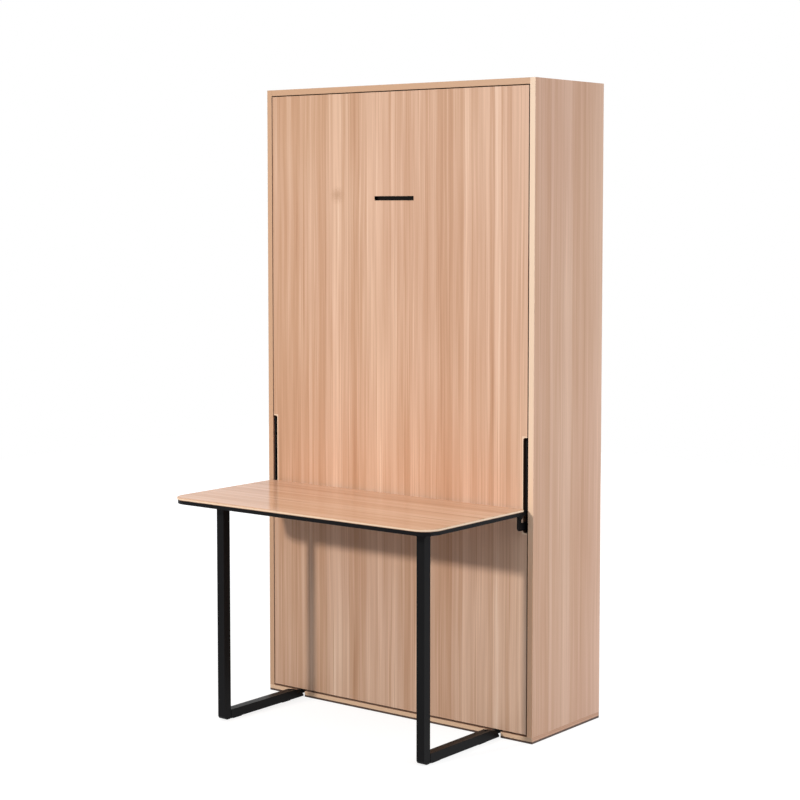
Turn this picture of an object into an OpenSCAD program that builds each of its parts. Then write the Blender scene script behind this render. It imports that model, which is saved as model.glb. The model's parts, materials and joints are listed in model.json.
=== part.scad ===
// Wall bed with a desk: an upright cabinet whose front panel folds down as the bed,
// while the desk in front of it stays level and goes under the lowered bed.
// X runs to the right, Y to the wall, Z up; the origin is the middle of the base, on the floor.

/* [Mattress] */
// Width of the mattress
mattress_w = 900; // [800:10:1000]
// Length of the mattress
mattress_l = 1900; // [1800:10:2100]
// Thickness of the mattress at its edge
mattress_t = 145; // [120:5:160]
// Rise of the mattress's middle over its edge
mattress_crown = 8; // [4:1:12]
// Height of the mattress's foot end in the closed bed
mattress_z = 130; // [120:2:140]
// Width of a mattress strap
strap_w = 40; // [30:2:50]

/* [Cabinet] */
// Room beside the mattress, to the side board
side_room = 85; // [84:1:110]
// Room over the mattress's head end, to the top of the cabinet
head_room = 70; // [60:2:120]
// Depth, from the front face to the wall
case_d = 400; // [396:2:450]
// Thickness of the side and top boards
board_t = 20; // [18:1:22]
// Thickness of the base board
base_t = 20; // [17:1:22]
// Thickness of the back panel
back_t = 5; // [4:1:8]
// Depth of the grooves that hold the back panel
groove_d = 6; // [4:1:8]
// Height of the two rails that are screwed to the wall
wall_rail_h = 90; // [70:5:100]
// Thickness of the wall rails
wall_rail_t = 18; // [15:1:20]
// Distance between the wall screws, across
wall_screw_x = 800; // [600:20:900]
// Diameter of the wall screw holes
wall_screw_d = 8; // [6:1:10]

/* [Front panel] */
// Thickness of the front panel
panel_t = 18; // [16:1:20]
// Reveal at the sides and the top
panel_gap = 3; // [2:0.5:4]
// Reveal above the base board
base_gap = 6; // [5:0.5:8]
// Depth of the arm notches, from the panel's edge
notch_w = 15.5; // [15.5:0.5:20]
// Height of the flush pull's centre
pull_z = 1728; // [1500:10:1850]
// Width of the flush pull
pull_w = 162; // [120:2:240]
// Height of the flush pull
pull_h = 14; // [12:0.5:24]
// Depth of the flush pull's cup
pull_depth = 12; // [8:1:14]

/* [Bed] */
// Depth of the steel bed frame behind the panel
frame_d = 50; // [46:2:54]
// Width of the frame tubes
frame_w = 25; // [20:1:28]
// Wall of the frame tubes
frame_wall = 2; // [1.5:0.5:3]
// Number of slats
slat_n = 13; // [9:1:15]
// Width of a slat
slat_w = 60; // [50:2:68]
// Thickness of a slat
slat_t = 8; // [7:1:10]
// Number of cross bars behind the panel
bar_n = 3; // [2:1:4]

/* [Desk] */
// Height of the desk's top face
desk_h = 752; // [730:2:780]
// How far the desk's ends stand in from the cabinet's opening
desk_in = 3; // [0:0.5:4]
// Reach of the desk's front edge from the cabinet's front
desk_reach = 516; // [480:4:560]
// Thickness of the desk top
desk_t = 9; // [8:1:12]
// Radius of the desk's front corners
desk_r = 60; // [50:5:90]
// Radius of the desk's rear corners
desk_rear_r = 8; // [4:1:12]
// Height of the steel under-frame
under_h = 12; // [11:1:14]
// Height of the desk arms' top pivot over their lower pivot
arm_rise = 231; // [200:1:240]
// Width of the upright part of a desk arm
arm_w = 20; // [18:1:22]

/* [Legs] */
// Width of the square leg tube
tube = 30; // [28:1:34]
// Wall of the leg tube
tube_wall = 2; // [1.5:0.5:3]
// Distance from the desk's end to the leg's middle
leg_inset = 118; // [100:2:140]
// Distance from the cabinet's front to the leg's front face
leg_reach = 400; // [380:2:420]
// Thickness of the rubber pads under the floor bars
pad_t = 3; // [2:0.5:4]

/* [Mechanism] */
// Height of the bed's pivot
pivot_z = 350; // [340:2:370]
// Depth of the bed's pivot behind the front face
pivot_y = 14; // [13:0.5:15]
// Diameter of the bed's pivot studs
stud_d = 12; // [10:1:12]
// Diameter of the pins of the desk hinge
hinge_d = 10; // [8:1:10]
// Diameter of the pins of the control links
link_pin_d = 8; // [6:1:8]
// Diameter of the pins of the legs and floor bars
leg_pin_d = 6; // [5:1:6]
// Thickness of the desk arms and desk lugs
plate_t = 5; // [4:0.5:5]
// Width of a control link
link_w = 18; // [17:1:19]
// Diameter of a gas spring's cylinder
spring_d = 22; // [18:1:22]
// Diameter of a gas spring's rod
rod_d = 10; // [8:1:10]

/* [Hidden] */
$fn = 48;
// Radial play of a turning fit, and the gap that closed faces keep
play = 0.05;
seat = 0.3;
// Height gap between the lowered desk and the panel above it
under_gap = 6;

// Cabinet
inner_x = mattress_w / 2 + side_room;
case_w = 2 * (inner_x + board_t);
case_h = mattress_z + mattress_l + head_room;
back_inset = 10;
back_y = case_d - back_inset - back_t;
top_z = case_h - board_t;
rail_lift = 30;
wall_rail_z = [base_t + rail_lift, top_z - wall_rail_h];
panel_x = inner_x - panel_gap;
panel_z0 = base_t + base_gap;
panel_z1 = top_z - panel_gap;

// Layers of the side mechanism, measured inwards from the side board's inner face
link_a = 1.2;
link_t = 3.5;
arm_a = 6;
lug_a = arm_a + plate_t + 1;
spring_c = 31;
hub_a = panel_gap;
bed_plate_t = 3;
rail_a = 45;
rail_x = inner_x - rail_a;
rail_in = rail_x - frame_w;

// Desk hinge: as far in front of the panel as the desk's top is above it, plus the gap
lug_r = 8.5;
hinge_z = desk_h - desk_t - lug_r - 4.5;
hinge_y = hinge_z - desk_h - under_gap;
hinge = [hinge_y, hinge_z];
// The rear edge turns past the panel's face with this much room
edge_room = 1.8;
desk_y1 = hinge_y + sqrt(pow(-hinge_y - edge_room, 2) - pow(desk_h - hinge_z, 2));
desk_y0 = -desk_reach;
desk_w = 2 * (inner_x - desk_in);
under_z = desk_h - desk_t - under_h;

// Upright of the desk arm, its top pivot, and the bed and link pivots
arm_y0 = 2;
arm_top = [arm_y0 + arm_w / 2, hinge_z + arm_rise];
pivot = [pivot_y, pivot_z];
link_foot = pivot + arm_top - hinge;
arm_end_r = arm_w / 2;

// Leg, knee and floor bar: a parallelogram with the bed
leg_x = desk_w / 2 - leg_inset;
leg_back_y = -leg_reach + tube;
pin_inset = 6;
leg_top_z = under_z - 1;
leg_pin = [leg_back_y - pin_inset, leg_top_z - pin_inset];
knee_r = 8;
knee = [leg_pin.x, pad_t + knee_r];
ear_pin = hinge + knee - leg_pin;
bar_z1 = pad_t + tube;
bar_y0 = knee.x + knee_r + 0.5;
bar_y1 = ear_pin.x + 27;
ear_t = 6;
slot_w = tube + 8;
slot_d = 160;

// Pivot plate let into the side board
pivot_plate_t = 3;
pivot_plate_y = [3, link_foot.x + 30];
pivot_plate_z = [pivot_z - 50, link_foot.y + 40];

// Notch for the arm: from under the turned arm to over its top
notch_z0 = hinge_z - (arm_y0 + arm_w - hinge_y) - 6;
notch_z1 = arm_top.y + arm_end_r + 4;

// Bed frame
frame_y1 = panel_t + frame_d;
foot_over = 70;
head_over = 20;
frame_z0 = mattress_z - foot_over;
frame_z1 = mattress_z + mattress_l + head_over;
mattress_y0 = frame_y1 + 2.3;
mattress_zc = mattress_z + mattress_l / 2;
slat_bow = 6;
slat_y = mattress_y0 - seat - slat_t - slat_bow;
slat_pitch = (mattress_l - 2 * slat_w) / (slat_n - 1);
slat_x = rail_in - 6;
cap_w = 10;
strap_t = 2;
strap_room = 0.9;
// The straps lie midway between two slats
strap_rows = [round(slat_n * 0.3) - 0.5, round(slat_n * 0.7) - 0.5];

// Gas spring: cabinet end, bed end, and the line between them in the closed bed
spring_rise = 390;
spring_depth = 180;
spring_arm = [34, -110];
spring_top = [spring_depth, pivot_z + spring_rise];
spring_foot = pivot + spring_arm;
spring_len = norm(spring_foot - spring_top);
spring_lean = atan2(spring_foot.x - spring_top.x, spring_top.y - spring_foot.y);
spring_eye_r = 9;
cylinder_len = 300;
cylinder_wall = 2;
gland_t = 16;
piston_t = 8;

wood = [0.86, 0.70, 0.58];
wood_edge = [0.96, 0.87, 0.76];
steel = [0.07, 0.07, 0.08];
zinc = [0.70, 0.71, 0.73];
rubber = [0.12, 0.12, 0.12];
ticking = [0.93, 0.92, 0.89];

// Puts a piece drawn from the cabinet's front face into the object's frame
module place() { translate([0, -case_d / 2, 0]) children(); }

// Draws a right-hand piece on the right (1) or on the left (-1)
module on_side(s) {
    if (s > 0) place() children();
    else place() mirror([1, 0, 0]) children();
}

// Both sides in one node
module both() {
    on_side(1) children();
    on_side(-1) children();
}

// Extrudes a profile drawn in [y, z] along X, from x0 to x1
module slab(x0, x1) {
    translate([x0, 0, 0]) rotate([90, 0, 90]) linear_extrude(x1 - x0) children();
}

// Round bar along X through the point [y, z]
module pin(x0, x1, at, d) {
    translate([x0, at.x, at.y]) rotate([0, 90, 0]) cylinder(h = x1 - x0, d = d);
}

// The same, between two layers counted inwards from the side board
module layer_pin(a, b, at, d) { pin(inner_x - b, inner_x - a, at, d); }

// Profile extruded between two layers
module layer(a, b) { slab(inner_x - b, inner_x - a) children(); }

// Flat link between two points, with a round eye at each that is a little wider than the link
module link2d(a, b, r) {
    w = r - 1;
    translate(a) rotate(atan2(a.x - b.x, b.y - a.y)) {
        circle(r);
        translate([0, norm(b - a)]) circle(r);
        translate([-w, 0]) square([2 * w, norm(b - a)]);
    }
}

// Rectangle from corner to corner
module rect2d(a, b) { translate(a) square(b - a); }

// Rectangle with round corners: radius r1 at the low-Y side, r2 at the high-Y side
module board2d(x0, x1, y0, y1, r1, r2) {
    rect2d([x0 + r1, y0], [x1 - r1, y1 - r2]);
    rect2d([x0, y0 + r1], [x1, y1 - r2]);
    rect2d([x0 + r2, y1 - r2 - 0.5], [x1 - r2, y1]);
    for (x = [x0 + r1, x1 - r1]) translate([x, y0 + r1]) circle(r1, $fn = 96);
    for (x = [x0 + r2, x1 - r2]) translate([x, y1 - r2]) circle(r2);
}

// Square tube along Z with an open bore
module tube_z(x, y, z0, z1, w, d, wall) {
    translate([x, y, z0]) difference() {
        cube([w, d, z1 - z0]);
        translate([wall, wall, -1]) cube([w - 2 * wall, d - 2 * wall, z1 - z0 + 2]);
    }
}

// Square tube along X with an open bore
module tube_x(x0, x1, y, z, d, h, wall) {
    translate([x0, y, z]) difference() {
        cube([x1 - x0, d, h]);
        translate([-1, wall, wall]) cube([x1 - x0 + 2, d - 2 * wall, h - 2 * wall]);
    }
}

// Cabinet

module side_panel() {
    color(wood) difference() {
        translate([inner_x, 0, base_t]) cube([board_t, case_d, case_h - base_t]);
        translate([inner_x - 1, back_y, base_t - 1])
            cube([groove_d + 1, back_t, top_z + groove_d - base_t + 1]);
        translate([inner_x - 1, pivot_plate_y[0], pivot_plate_z[0]])
            cube([pivot_plate_t + 1, pivot_plate_y[1] - pivot_plate_y[0],
                  pivot_plate_z[1] - pivot_plate_z[0]]);
        for (at = plate_screw_points()) plate_screw_shank(at);
    }
}

module top_panel() {
    color(wood) difference() {
        translate([-inner_x, 0, top_z]) cube([2 * inner_x, case_d, board_t]);
        translate([-inner_x - 1, back_y, top_z - 1]) cube([2 * inner_x + 2, back_t, groove_d + 1]);
    }
}

// The floor bars draw back through the two slots
module base_panel() {
    color(wood_edge) difference() {
        translate([-case_w / 2, 0, 0]) cube([case_w, case_d, base_t]);
        translate([-inner_x - groove_d, back_y, base_t - groove_d])
            cube([2 * (inner_x + groove_d), back_t, groove_d + 1]);
        for (s = [-1, 1])
            translate([s * leg_x - slot_w / 2, -1, -1]) cube([slot_w, slot_d + 1, base_t + 2]);
    }
}

module back_panel() {
    in_x = inner_x + groove_d - 0.5;
    z0 = base_t - groove_d + 0.5;
    color(wood) difference() {
        translate([-in_x, back_y, z0]) cube([2 * in_x, back_t, top_z + groove_d - 0.5 - z0]);
        wall_holes();
    }
}

// Holes for the screws that hold the cabinet to the wall
module wall_holes() {
    for (x = [-1, 1] * wall_screw_x / 2, z = wall_rail_z)
        translate([x, back_y - wall_rail_t - 1, z + wall_rail_h / 2])
            rotate([-90, 0, 0]) cylinder(h = wall_rail_t + back_t + 2, d = wall_screw_d);
}

module wall_rails() {
    color(wood) difference() {
        for (z = wall_rail_z)
            translate([-inner_x, back_y - wall_rail_t, z])
                cube([2 * inner_x, wall_rail_t, wall_rail_h]);
        wall_holes();
    }
}

// Steel plate let into the side board, with the bed's stud and the link's stud
module pivot_plate() {
    color(zinc) {
        difference() {
            slab(inner_x, inner_x + pivot_plate_t)
                rect2d([pivot_plate_y[0], pivot_plate_z[0]], [pivot_plate_y[1], pivot_plate_z[1]]);
            for (at = plate_screw_points())
                pin(inner_x - 1, inner_x + pivot_plate_t + 1, at, plate_screw_d + 0.4);
        }
        layer_pin(0, hub_a - seat, pivot, stud_d + 8);
        layer_pin(0, rail_a - 1, pivot, stud_d);
        layer_pin(0, link_a - seat, link_foot, link_w - 2);
        layer_pin(0, link_a + link_t + seat, link_foot, hinge_d);
        layer_pin(link_a + link_t + seat, arm_a - 0.1, link_foot, link_w - 3);
    }
}

function plate_screw_points() = [
    for (y = [pivot_plate_y[0] + 12, pivot_plate_y[1] - 12],
         z = [pivot_plate_z[0] + 12, pivot_plate_z[1] - 12]) [y, z]];

plate_screw_d = 4;

module plate_screw_shank(at) { pin(inner_x - 0.1, inner_x + board_t * 0.7, at, plate_screw_d); }

// Screws of the pivot plates, with flat heads
module plate_screws() {
    color(zinc) for (at = plate_screw_points()) {
        plate_screw_shank(at);
        layer_pin(0, 0.6, at, 2 * plate_screw_d);
    }
}

// Bracket and stud of the gas spring's upper end
module spring_bracket() {
    color(steel) {
        layer(0, 4) link2d(spring_top - [0, 18], spring_top + [0, 18], 15);
        layer_pin(4, spring_c - 6 - seat, spring_top, 13);
        layer_pin(4, spring_c + 8, spring_top, link_pin_d);
        layer_pin(spring_c + 6 + seat, spring_c + 8, spring_top, 12);
    }
}

stop_h = 70;
stop_w = 18;
stop_d = 34;
stop_drop = 180;
stop_z = case_h - stop_drop;
buffer_t = 2.2;
buffer_d = 10;

// Wood blocks and rubber buffers that the closed panel meets
module stop_block() {
    color(wood) translate([inner_x - stop_w, panel_t + seat + buffer_t, stop_z])
        cube([stop_w, stop_d, stop_h]);
}

module stop_buffer() {
    color(rubber) for (z = [stop_z + 1.5 * buffer_d, stop_z + stop_h - 1.5 * buffer_d])
        translate([inner_x - stop_w * 0.6, panel_t + seat, z]) rotate([-90, 0, 0])
            cylinder(h = buffer_t, d = buffer_d);
}

catch_w = 60;
catch_h = 12;

module magnet_catch() {
    color(rubber) translate([-catch_w / 2, panel_t + 2, top_z - catch_h]) cube([catch_w, 16, catch_h]);
}

module catch_plate() {
    color(zinc) translate([-catch_w / 2 + 4, panel_t, top_z - panel_gap - catch_h])
        cube([catch_w - 8, 1.7, catch_h - 1]);
}

// Bed

// Notch in the panel's edge with round inner corners, drawn in [distance from the edge, z]
module notch2d() {
    r = 7;
    rect2d([-1, notch_z0], [notch_w - r, notch_z1]);
    rect2d([-1, notch_z0 + r], [notch_w, notch_z1 - r]);
    for (z = [notch_z0 + r, notch_z1 - r]) translate([notch_w - r, z]) circle(r);
}

module notch_cut() {
    translate([panel_x, panel_t + 1, 0]) mirror([1, 0, 0]) rotate([90, 0, 0])
        linear_extrude(panel_t + 2) notch2d();
}

// Relief behind the panel's edge for the pivot hub; a thin skin stays in front
hub_d = stud_d + 4;
skin = pivot_y - hub_d / 2 - 1.5;
relief_z = [pivot_z - 24, pivot_z + 24];

module front_panel() {
    color(wood) difference() {
        translate([-panel_x, 0, panel_z0]) cube([2 * panel_x, panel_t, panel_z1 - panel_z0]);
        for (s = [0, 1]) mirror([s, 0, 0]) {
            notch_cut();
            translate([rail_x - 2, skin, relief_z[0]])
                cube([rail_a + 3, panel_t, relief_z[1] - relief_z[0]]);
        }
        pull_block(pull_rim, -1, pull_depth);
    }
}

// Flush pull: a thin rim on the face and a cup let into the panel
pull_rim = 0.7;
pull_wall = 0.8;

// Block as large as the flush pull, drawn in by inset, between two depths
module pull_block(inset, y0, y1) {
    translate([-pull_w / 2 + inset, y0, pull_z - pull_h / 2 + inset])
        cube([pull_w - 2 * inset, y1 - y0, pull_h - 2 * inset]);
}

module flush_pull() {
    color(steel) difference() {
        union() {
            pull_block(0, -0.8, 0);
            pull_block(pull_rim, -0.1, pull_depth);
        }
        pull_block(pull_rim + pull_wall, -1, pull_depth - pull_wall);
    }
}

module side_rail() {
    color(steel) tube_z(rail_in, panel_t, frame_z0, frame_z1, frame_w, frame_d, frame_wall);
}

module head_rail() {
    color(steel) tube_x(-rail_in, rail_in, panel_t, frame_z1 - frame_w, frame_d, frame_w, frame_wall);
}

module foot_rail() {
    color(steel) tube_x(-rail_in, rail_in, panel_t, frame_z0, frame_d, frame_w, frame_wall);
}

function cross_bar_z(i) = frame_z0 + (frame_z1 - frame_z0) * (i + 1) / (bar_n + 1) - frame_w / 2;

module cross_bars() {
    color(steel) for (i = [0 : bar_n - 1])
        tube_x(-rail_in, rail_in, panel_t, cross_bar_z(i), frame_w, frame_w, frame_wall);
}

function slat_z(i) = mattress_z + slat_w / 2 + i * slat_pitch;

// Sprung slat: a shallow arc that bows towards the mattress
module slat2d() {
    n = 12;
    xs = [for (k = [0 : n]) -slat_x + 2 * slat_x * k / n];
    rise = [for (x = xs) slat_y + slat_bow * (1 - pow(x / slat_x, 2))];
    polygon(concat([for (k = [0 : n]) [xs[k], rise[k]]],
                   [for (k = [n : -1 : 0]) [xs[k], rise[k] + slat_t]]));
}

module slats() {
    color([0.90, 0.80, 0.64]) for (i = [0 : slat_n - 1])
        translate([0, 0, slat_z(i)]) linear_extrude(slat_w, center = true) slat2d();
}

// Moulded holders that carry the slats' ends on the side rails
module slat_caps() {
    color(rubber) for (i = [0 : slat_n - 1]) difference() {
        translate([rail_in - cap_w, slat_y - 4, slat_z(i) - slat_w / 2 - 4])
            cube([cap_w, slat_t + 9, slat_w + 8]);
        translate([rail_in - cap_w - 1, slat_y - seat, slat_z(i) - slat_w / 2 - seat])
            cube([cap_w - 1, slat_t + 1, slat_w + 2 * seat]);
    }
}

// Mattress: rounded sections along its length, crowned in the middle

function power(x, e) = sign(x) * pow(abs(x), e);

// Half thickness over the mid plane for a share u of the width and v of the length
function crown_at(u, v) = mattress_crown * (1 - u * u) * (1 - v * v);

edge_r = 34;
ring_n = 36;

// Stations along the length: distance from the middle and inset of the outline
function stations() = let (l = mattress_l / 2) concat(
    [for (k = [0 : 3]) [-l + edge_r * (1 - sin(k * 30)), edge_r * (1 - cos(90 - k * 30))]],
    [for (k = [-4 : 4]) [k * (l - edge_r) / 4.6, 0]],
    [for (k = [3 : -1 : 0]) [l - edge_r * (1 - sin(k * 30)), edge_r * (1 - cos(90 - k * 30))]]);

// Point of the section at angle a, with the outline drawn in by inset and out by grow
function section(a, v, inset, grow) = let (
    u = power(cos(a), 0.42), w = power(sin(a), 0.42),
    hx = mattress_w / 2 - inset - 4 * (1 - v * v) + grow,
    hy = mattress_t / 2 - inset + (w > 0 ? crown_at(u, v) : 0) + grow)
    [hx * u, mattress_y0 + mattress_t / 2 + hy * w];

module mattress() {
    st = stations();
    rings = [for (s = st) let (v = 2 * s[0] / mattress_l)
             [for (k = [0 : ring_n - 1])
              let (p = section(360 * k / ring_n, v, s[1], 0)) [p.x, p.y, mattress_zc + s[0]]]];
    m = len(st);
    ends = [[0, mattress_y0 + mattress_t / 2, mattress_zc + st[0][0]],
            [0, mattress_y0 + mattress_t / 2, mattress_zc + st[m - 1][0]]];
    points = concat([for (r = rings) each r], ends);
    base = m * ring_n;
    faces = concat(
        [for (j = [0 : m - 2], k = [0 : ring_n - 1])
         let (a = j * ring_n + k, b = j * ring_n + (k + 1) % ring_n) [a, a + ring_n, b]],
        [for (j = [0 : m - 2], k = [0 : ring_n - 1])
         let (a = j * ring_n + k, b = j * ring_n + (k + 1) % ring_n) [b, a + ring_n, b + ring_n]],
        [for (k = [0 : ring_n - 1]) [base, k, (k + 1) % ring_n]],
        [for (k = [0 : ring_n - 1])
         [base + 1, (m - 1) * ring_n + (k + 1) % ring_n, (m - 1) * ring_n + k]]);
    color(ticking) polyhedron(points, faces);
}

function strap_z(i) = slat_z(strap_rows[i]);

anchor_y = frame_y1 - 4;

// Webbing strap over the mattress, down to the anchors at both sides
module strap2d(v) {
    n = 24;
    angles = [for (k = [0 : n]) 180 * k / n];
    x = rail_in - 6;
    polygon(concat([[x, anchor_y]], [for (a = angles) section(a, v, 0, strap_room)], [[-x, anchor_y]],
                   [[-x - strap_t, anchor_y]],
                   [for (k = [n : -1 : 0]) section(angles[k], v, 0, strap_room + strap_t)],
                   [[x + strap_t, anchor_y]]));
}

module mattress_straps() {
    color(steel) for (i = [0, 1]) translate([0, 0, strap_z(i)])
        linear_extrude(strap_w, center = true) strap2d(2 * (strap_z(i) - mattress_zc) / mattress_l);
}

// Steel eyes on the side rails that hold the straps' ends
module strap_anchors() {
    w = 12;
    h = 10;
    color(zinc) for (i = [0, 1])
        translate([rail_in - w, anchor_y - h, strap_z(i) - strap_w / 2]) difference() {
            cube([w, h, strap_w]);
            translate([-1, h / 3, 4]) cube([w - 2, h / 3, strap_w - 8]);
        }
}

// Plate on the side rail with the pivot hub and the gas spring's lower stud
module bed_plate() {
    z0 = spring_foot.y - 24;
    z1 = pivot_z + 30;
    y0 = pivot_y - hub_d / 2;
    y1 = frame_y1 - 4;
    color(zinc) difference() {
        union() {
            layer(rail_a - bed_plate_t, rail_a) polygon([
                [y0, pivot_z - 18], [y0, pivot_z + 18], [panel_t + 1, pivot_z + 22],
                [panel_t + 1, z1], [y1, z1], [y1, z0], [panel_t + 1, z0],
                [panel_t + 1, pivot_z - 22]]);
            layer_pin(hub_a, rail_a, pivot, hub_d);
            layer_pin(spring_c + 6 + seat, rail_a, spring_foot, 14);
        }
        layer_pin(hub_a - 1, rail_a + 1, pivot, stud_d + 2 * play);
    }
}

// Hook that carries the desk's hinge in front of the panel, through the notch
module desk_lug() {
    foot_z = [hinge_z - 47, hinge_z - 23];
    tip_y = hinge_y - lug_r;
    color(steel) difference() {
        union() {
            layer(lug_a, lug_a + plate_t) {
                translate(hinge) circle(lug_r);
                rect2d([tip_y, foot_z[0] + 10], [hinge_y + lug_r, hinge_z]);
                rect2d([tip_y + 10, foot_z[0]], [panel_t + 4, foot_z[1]]);
                translate([tip_y + 10, foot_z[0] + 10]) circle(10);
            }
            layer(lug_a, rail_a)
                rect2d([panel_t, foot_z[0] - 16], [panel_t + 4, foot_z[1] + 12]);
        }
        layer_pin(lug_a - 1, lug_a + plate_t + 1, hinge, hinge_d + 2 * play);
    }
}

// Ear under the foot rail that draws the floor bar along
module bar_ear() {
    r = 8;
    color(steel) difference() {
        union() {
            slab(leg_x - ear_t / 2, leg_x + ear_t / 2) {
                translate(ear_pin) circle(r);
                rect2d([ear_pin.x, ear_pin.y - r], [frame_y1 - 8, panel_z0 - seat]);
                rect2d([panel_t + seat, ear_pin.y - r], [frame_y1 - 8, frame_z0]);
            }
            slab(leg_x - 20, leg_x + 20)
                rect2d([panel_t, frame_z0 - 4], [frame_y1 - 8, frame_z0]);
        }
        pin(leg_x - ear_t, leg_x + ear_t, ear_pin, leg_pin_d + 2 * play);
    }
}

module ear_pins() {
    color(zinc) pin(leg_x - tube / 2 + 0.4, leg_x + tube / 2 - 0.4, ear_pin, leg_pin_d);
}

// Screws that hold the steel frame to the panel, and the lugs' flanges
module frame_screws() {
    color(zinc) {
        for (i = [0 : bar_n - 1], x = [-1, 0, 1] * rail_in * 0.7)
            translate([x, panel_t + frame_w, cross_bar_z(i) + frame_w / 2])
                rotate([-90, 0, 0]) cylinder(h = 2.4, d = 9);
        for (x = [-1, 1] * (rail_x + 12), z = [hinge_z - 56, hinge_z - 18])
            translate([x, panel_t + 4, z]) rotate([-90, 0, 0]) cylinder(h = 2, d = 8);
    }
}

// Desk

module desk_top() {
    color(wood) translate([0, 0, desk_h - desk_t]) linear_extrude(desk_t)
        board2d(-desk_w / 2, desk_w / 2, desk_y0, desk_y1, desk_r, desk_rear_r);
}

// The under-frame stands back from the desk's edge as far as the arms do
arm_x1 = inner_x - arm_a;
under_back = desk_w / 2 - arm_x1;
bend_r = desk_r - under_back;
arm_front_y = desk_y0 + desk_r;

// Flat bar bent round the desk's front corners
module desk_front_rail() {
    y0 = desk_y0 + under_back;
    color(steel) translate([0, 0, under_z]) linear_extrude(under_h) difference() {
        board2d(-arm_x1, arm_x1, y0, 0, bend_r, 1);
        board2d(-arm_x1 + plate_t, arm_x1 - plate_t, y0 + plate_t, 1, bend_r - plate_t, 1);
        rect2d([-arm_x1 - 1, arm_front_y], [arm_x1 + 1, 2]);
    }
}

rear_rail_y = hinge_y - 44;

module desk_rear_rail() {
    x = arm_x1 - plate_t;
    color(steel) translate([-x, rear_rail_y, under_z]) cube([2 * x, 15, under_h]);
}

// Side of the under-frame, with an upright that stands in the panel's notch
module desk_arm() {
    arm_y1 = arm_y0 + arm_w;
    z1 = under_z + under_h;
    eye_r = 10;
    color(steel) difference() {
        layer(arm_a, arm_a + plate_t) {
            rect2d([arm_front_y, under_z], [arm_y1 - 6, z1]);
            rect2d([arm_y0, under_z + 6], [arm_y1, arm_top.y]);
            translate([arm_y1 - 6, under_z + 6]) circle(6);
            translate(arm_top) circle(arm_end_r);
            translate(hinge) circle(eye_r);
            rect2d([hinge_y - eye_r, hinge_z], [hinge_y + eye_r, z1 - 0.5]);
        }
        layer_pin(arm_a - 1, arm_a + plate_t + 1, hinge, hinge_d + 2 * play);
        layer_pin(arm_a - 1, arm_a + plate_t + 1, arm_top, link_pin_d + 2 * play);
    }
}

// Pin with a flat head at each end, from layer a to layer b
module headed_pin(a, b, at, d) {
    head_t = 0.7;
    layer_pin(a - 0.2 - head_t, b + 0.2 + head_t, at, d);
    layer_pin(a - 0.2 - head_t, a - 0.2, at, d + 4);
    layer_pin(b + 0.2, b + 0.2 + head_t, at, d + 4);
}

// Pins of the desk hinge and of the arms' top ends
module arm_pins() {
    color(zinc) {
        headed_pin(arm_a, lug_a + plate_t, hinge, hinge_d);
        headed_pin(link_a, arm_a + plate_t, arm_top, link_pin_d);
    }
}

cheek_t = 3;
cheek_gap = 0.4;
bracket_z0 = leg_pin.y - 20;

// Fork under the desk top that holds the leg
module leg_bracket() {
    z1 = desk_h - desk_t;
    x = tube / 2 + cheek_gap;
    y0 = -leg_reach;
    y1 = leg_back_y + 3;
    color(steel) difference() {
        union() {
            for (s = [-1, 1]) slab(leg_x + s * x + (s - 1) / 2 * cheek_t,
                                   leg_x + s * x + (s + 1) / 2 * cheek_t)
                polygon([[y0, bracket_z0 + 4], [y0, z1], [y1, z1], [y1, bracket_z0 + 4],
                         [y1 - 4, bracket_z0], [y0 + 4, bracket_z0]]);
            slab(leg_x - 34, leg_x + 34) rect2d([y0, z1 - 4], [y1, z1]);
        }
        pin(leg_x - x - cheek_t - 1, leg_x + x + cheek_t + 1, leg_pin, leg_pin_d + 2 * play);
    }
}

module leg_pins() {
    x = tube / 2 + cheek_gap + cheek_t;
    color(zinc) {
        pin(leg_x - x - 0.8, leg_x + x + 0.8, leg_pin, leg_pin_d);
        for (s = [-1, 1]) pin(leg_x + s * (x + 0.5) - 0.3, leg_x + s * (x + 0.5) + 0.3,
                              leg_pin, leg_pin_d + 3);
    }
}

// Heads of the screws that hold the under-frame to the desk top
module desk_screws() {
    z = desk_h - desk_t - 4;
    color(zinc) {
        for (x = [-27, 27], y = [-leg_reach + 8, leg_back_y - 5])
            translate([leg_x + x, y, z - 2]) cylinder(h = 2, d = 8);
        translate([leg_x * 0.4, rear_rail_y + 7.5, under_z - 0.8]) cylinder(h = 0.8, d = 9);
    }
}

// Leg and floor bar

// Leg tube: round foot, fork for the floor bar's tongue, open bore from above
module leg() {
    y0 = -leg_reach;
    foot_r = 14;
    bore = tube - 2 * tube_wall;
    color(steel) difference() {
        slab(leg_x - tube / 2, leg_x + tube / 2) {
            rect2d([y0, pad_t + foot_r], [leg_back_y, leg_top_z]);
            rect2d([y0 + foot_r, pad_t], [knee.x, pad_t + foot_r + 1]);
            translate([y0 + foot_r, pad_t + foot_r]) circle(foot_r);
            intersection() {
                translate(knee) circle(knee_r);
                rect2d([knee.x - 1, pad_t], [leg_back_y, pad_t + foot_r + 1]);
            }
            rect2d([knee.x - 1, knee.y], [leg_back_y, pad_t + foot_r + 1]);
        }
        slab(leg_x - 5.7, leg_x + 5.7)
            rect2d([knee.x - knee_r - 0.6, -1], [leg_back_y + 1, knee.y + knee_r + 0.6]);
        translate([leg_x - bore / 2, y0 + tube_wall, bar_z1 + 8])
            cube([bore, bore, leg_top_z]);
        pin(leg_x - tube, leg_x + tube, knee, leg_pin_d + 2 * play);
        pin(leg_x - tube, leg_x + tube, leg_pin, leg_pin_d + 2 * play);
    }
}

module knee_pin() {
    color(zinc) pin(leg_x - tube / 2 + 0.4, leg_x + tube / 2 - 0.4, knee, leg_pin_d);
}

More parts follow.
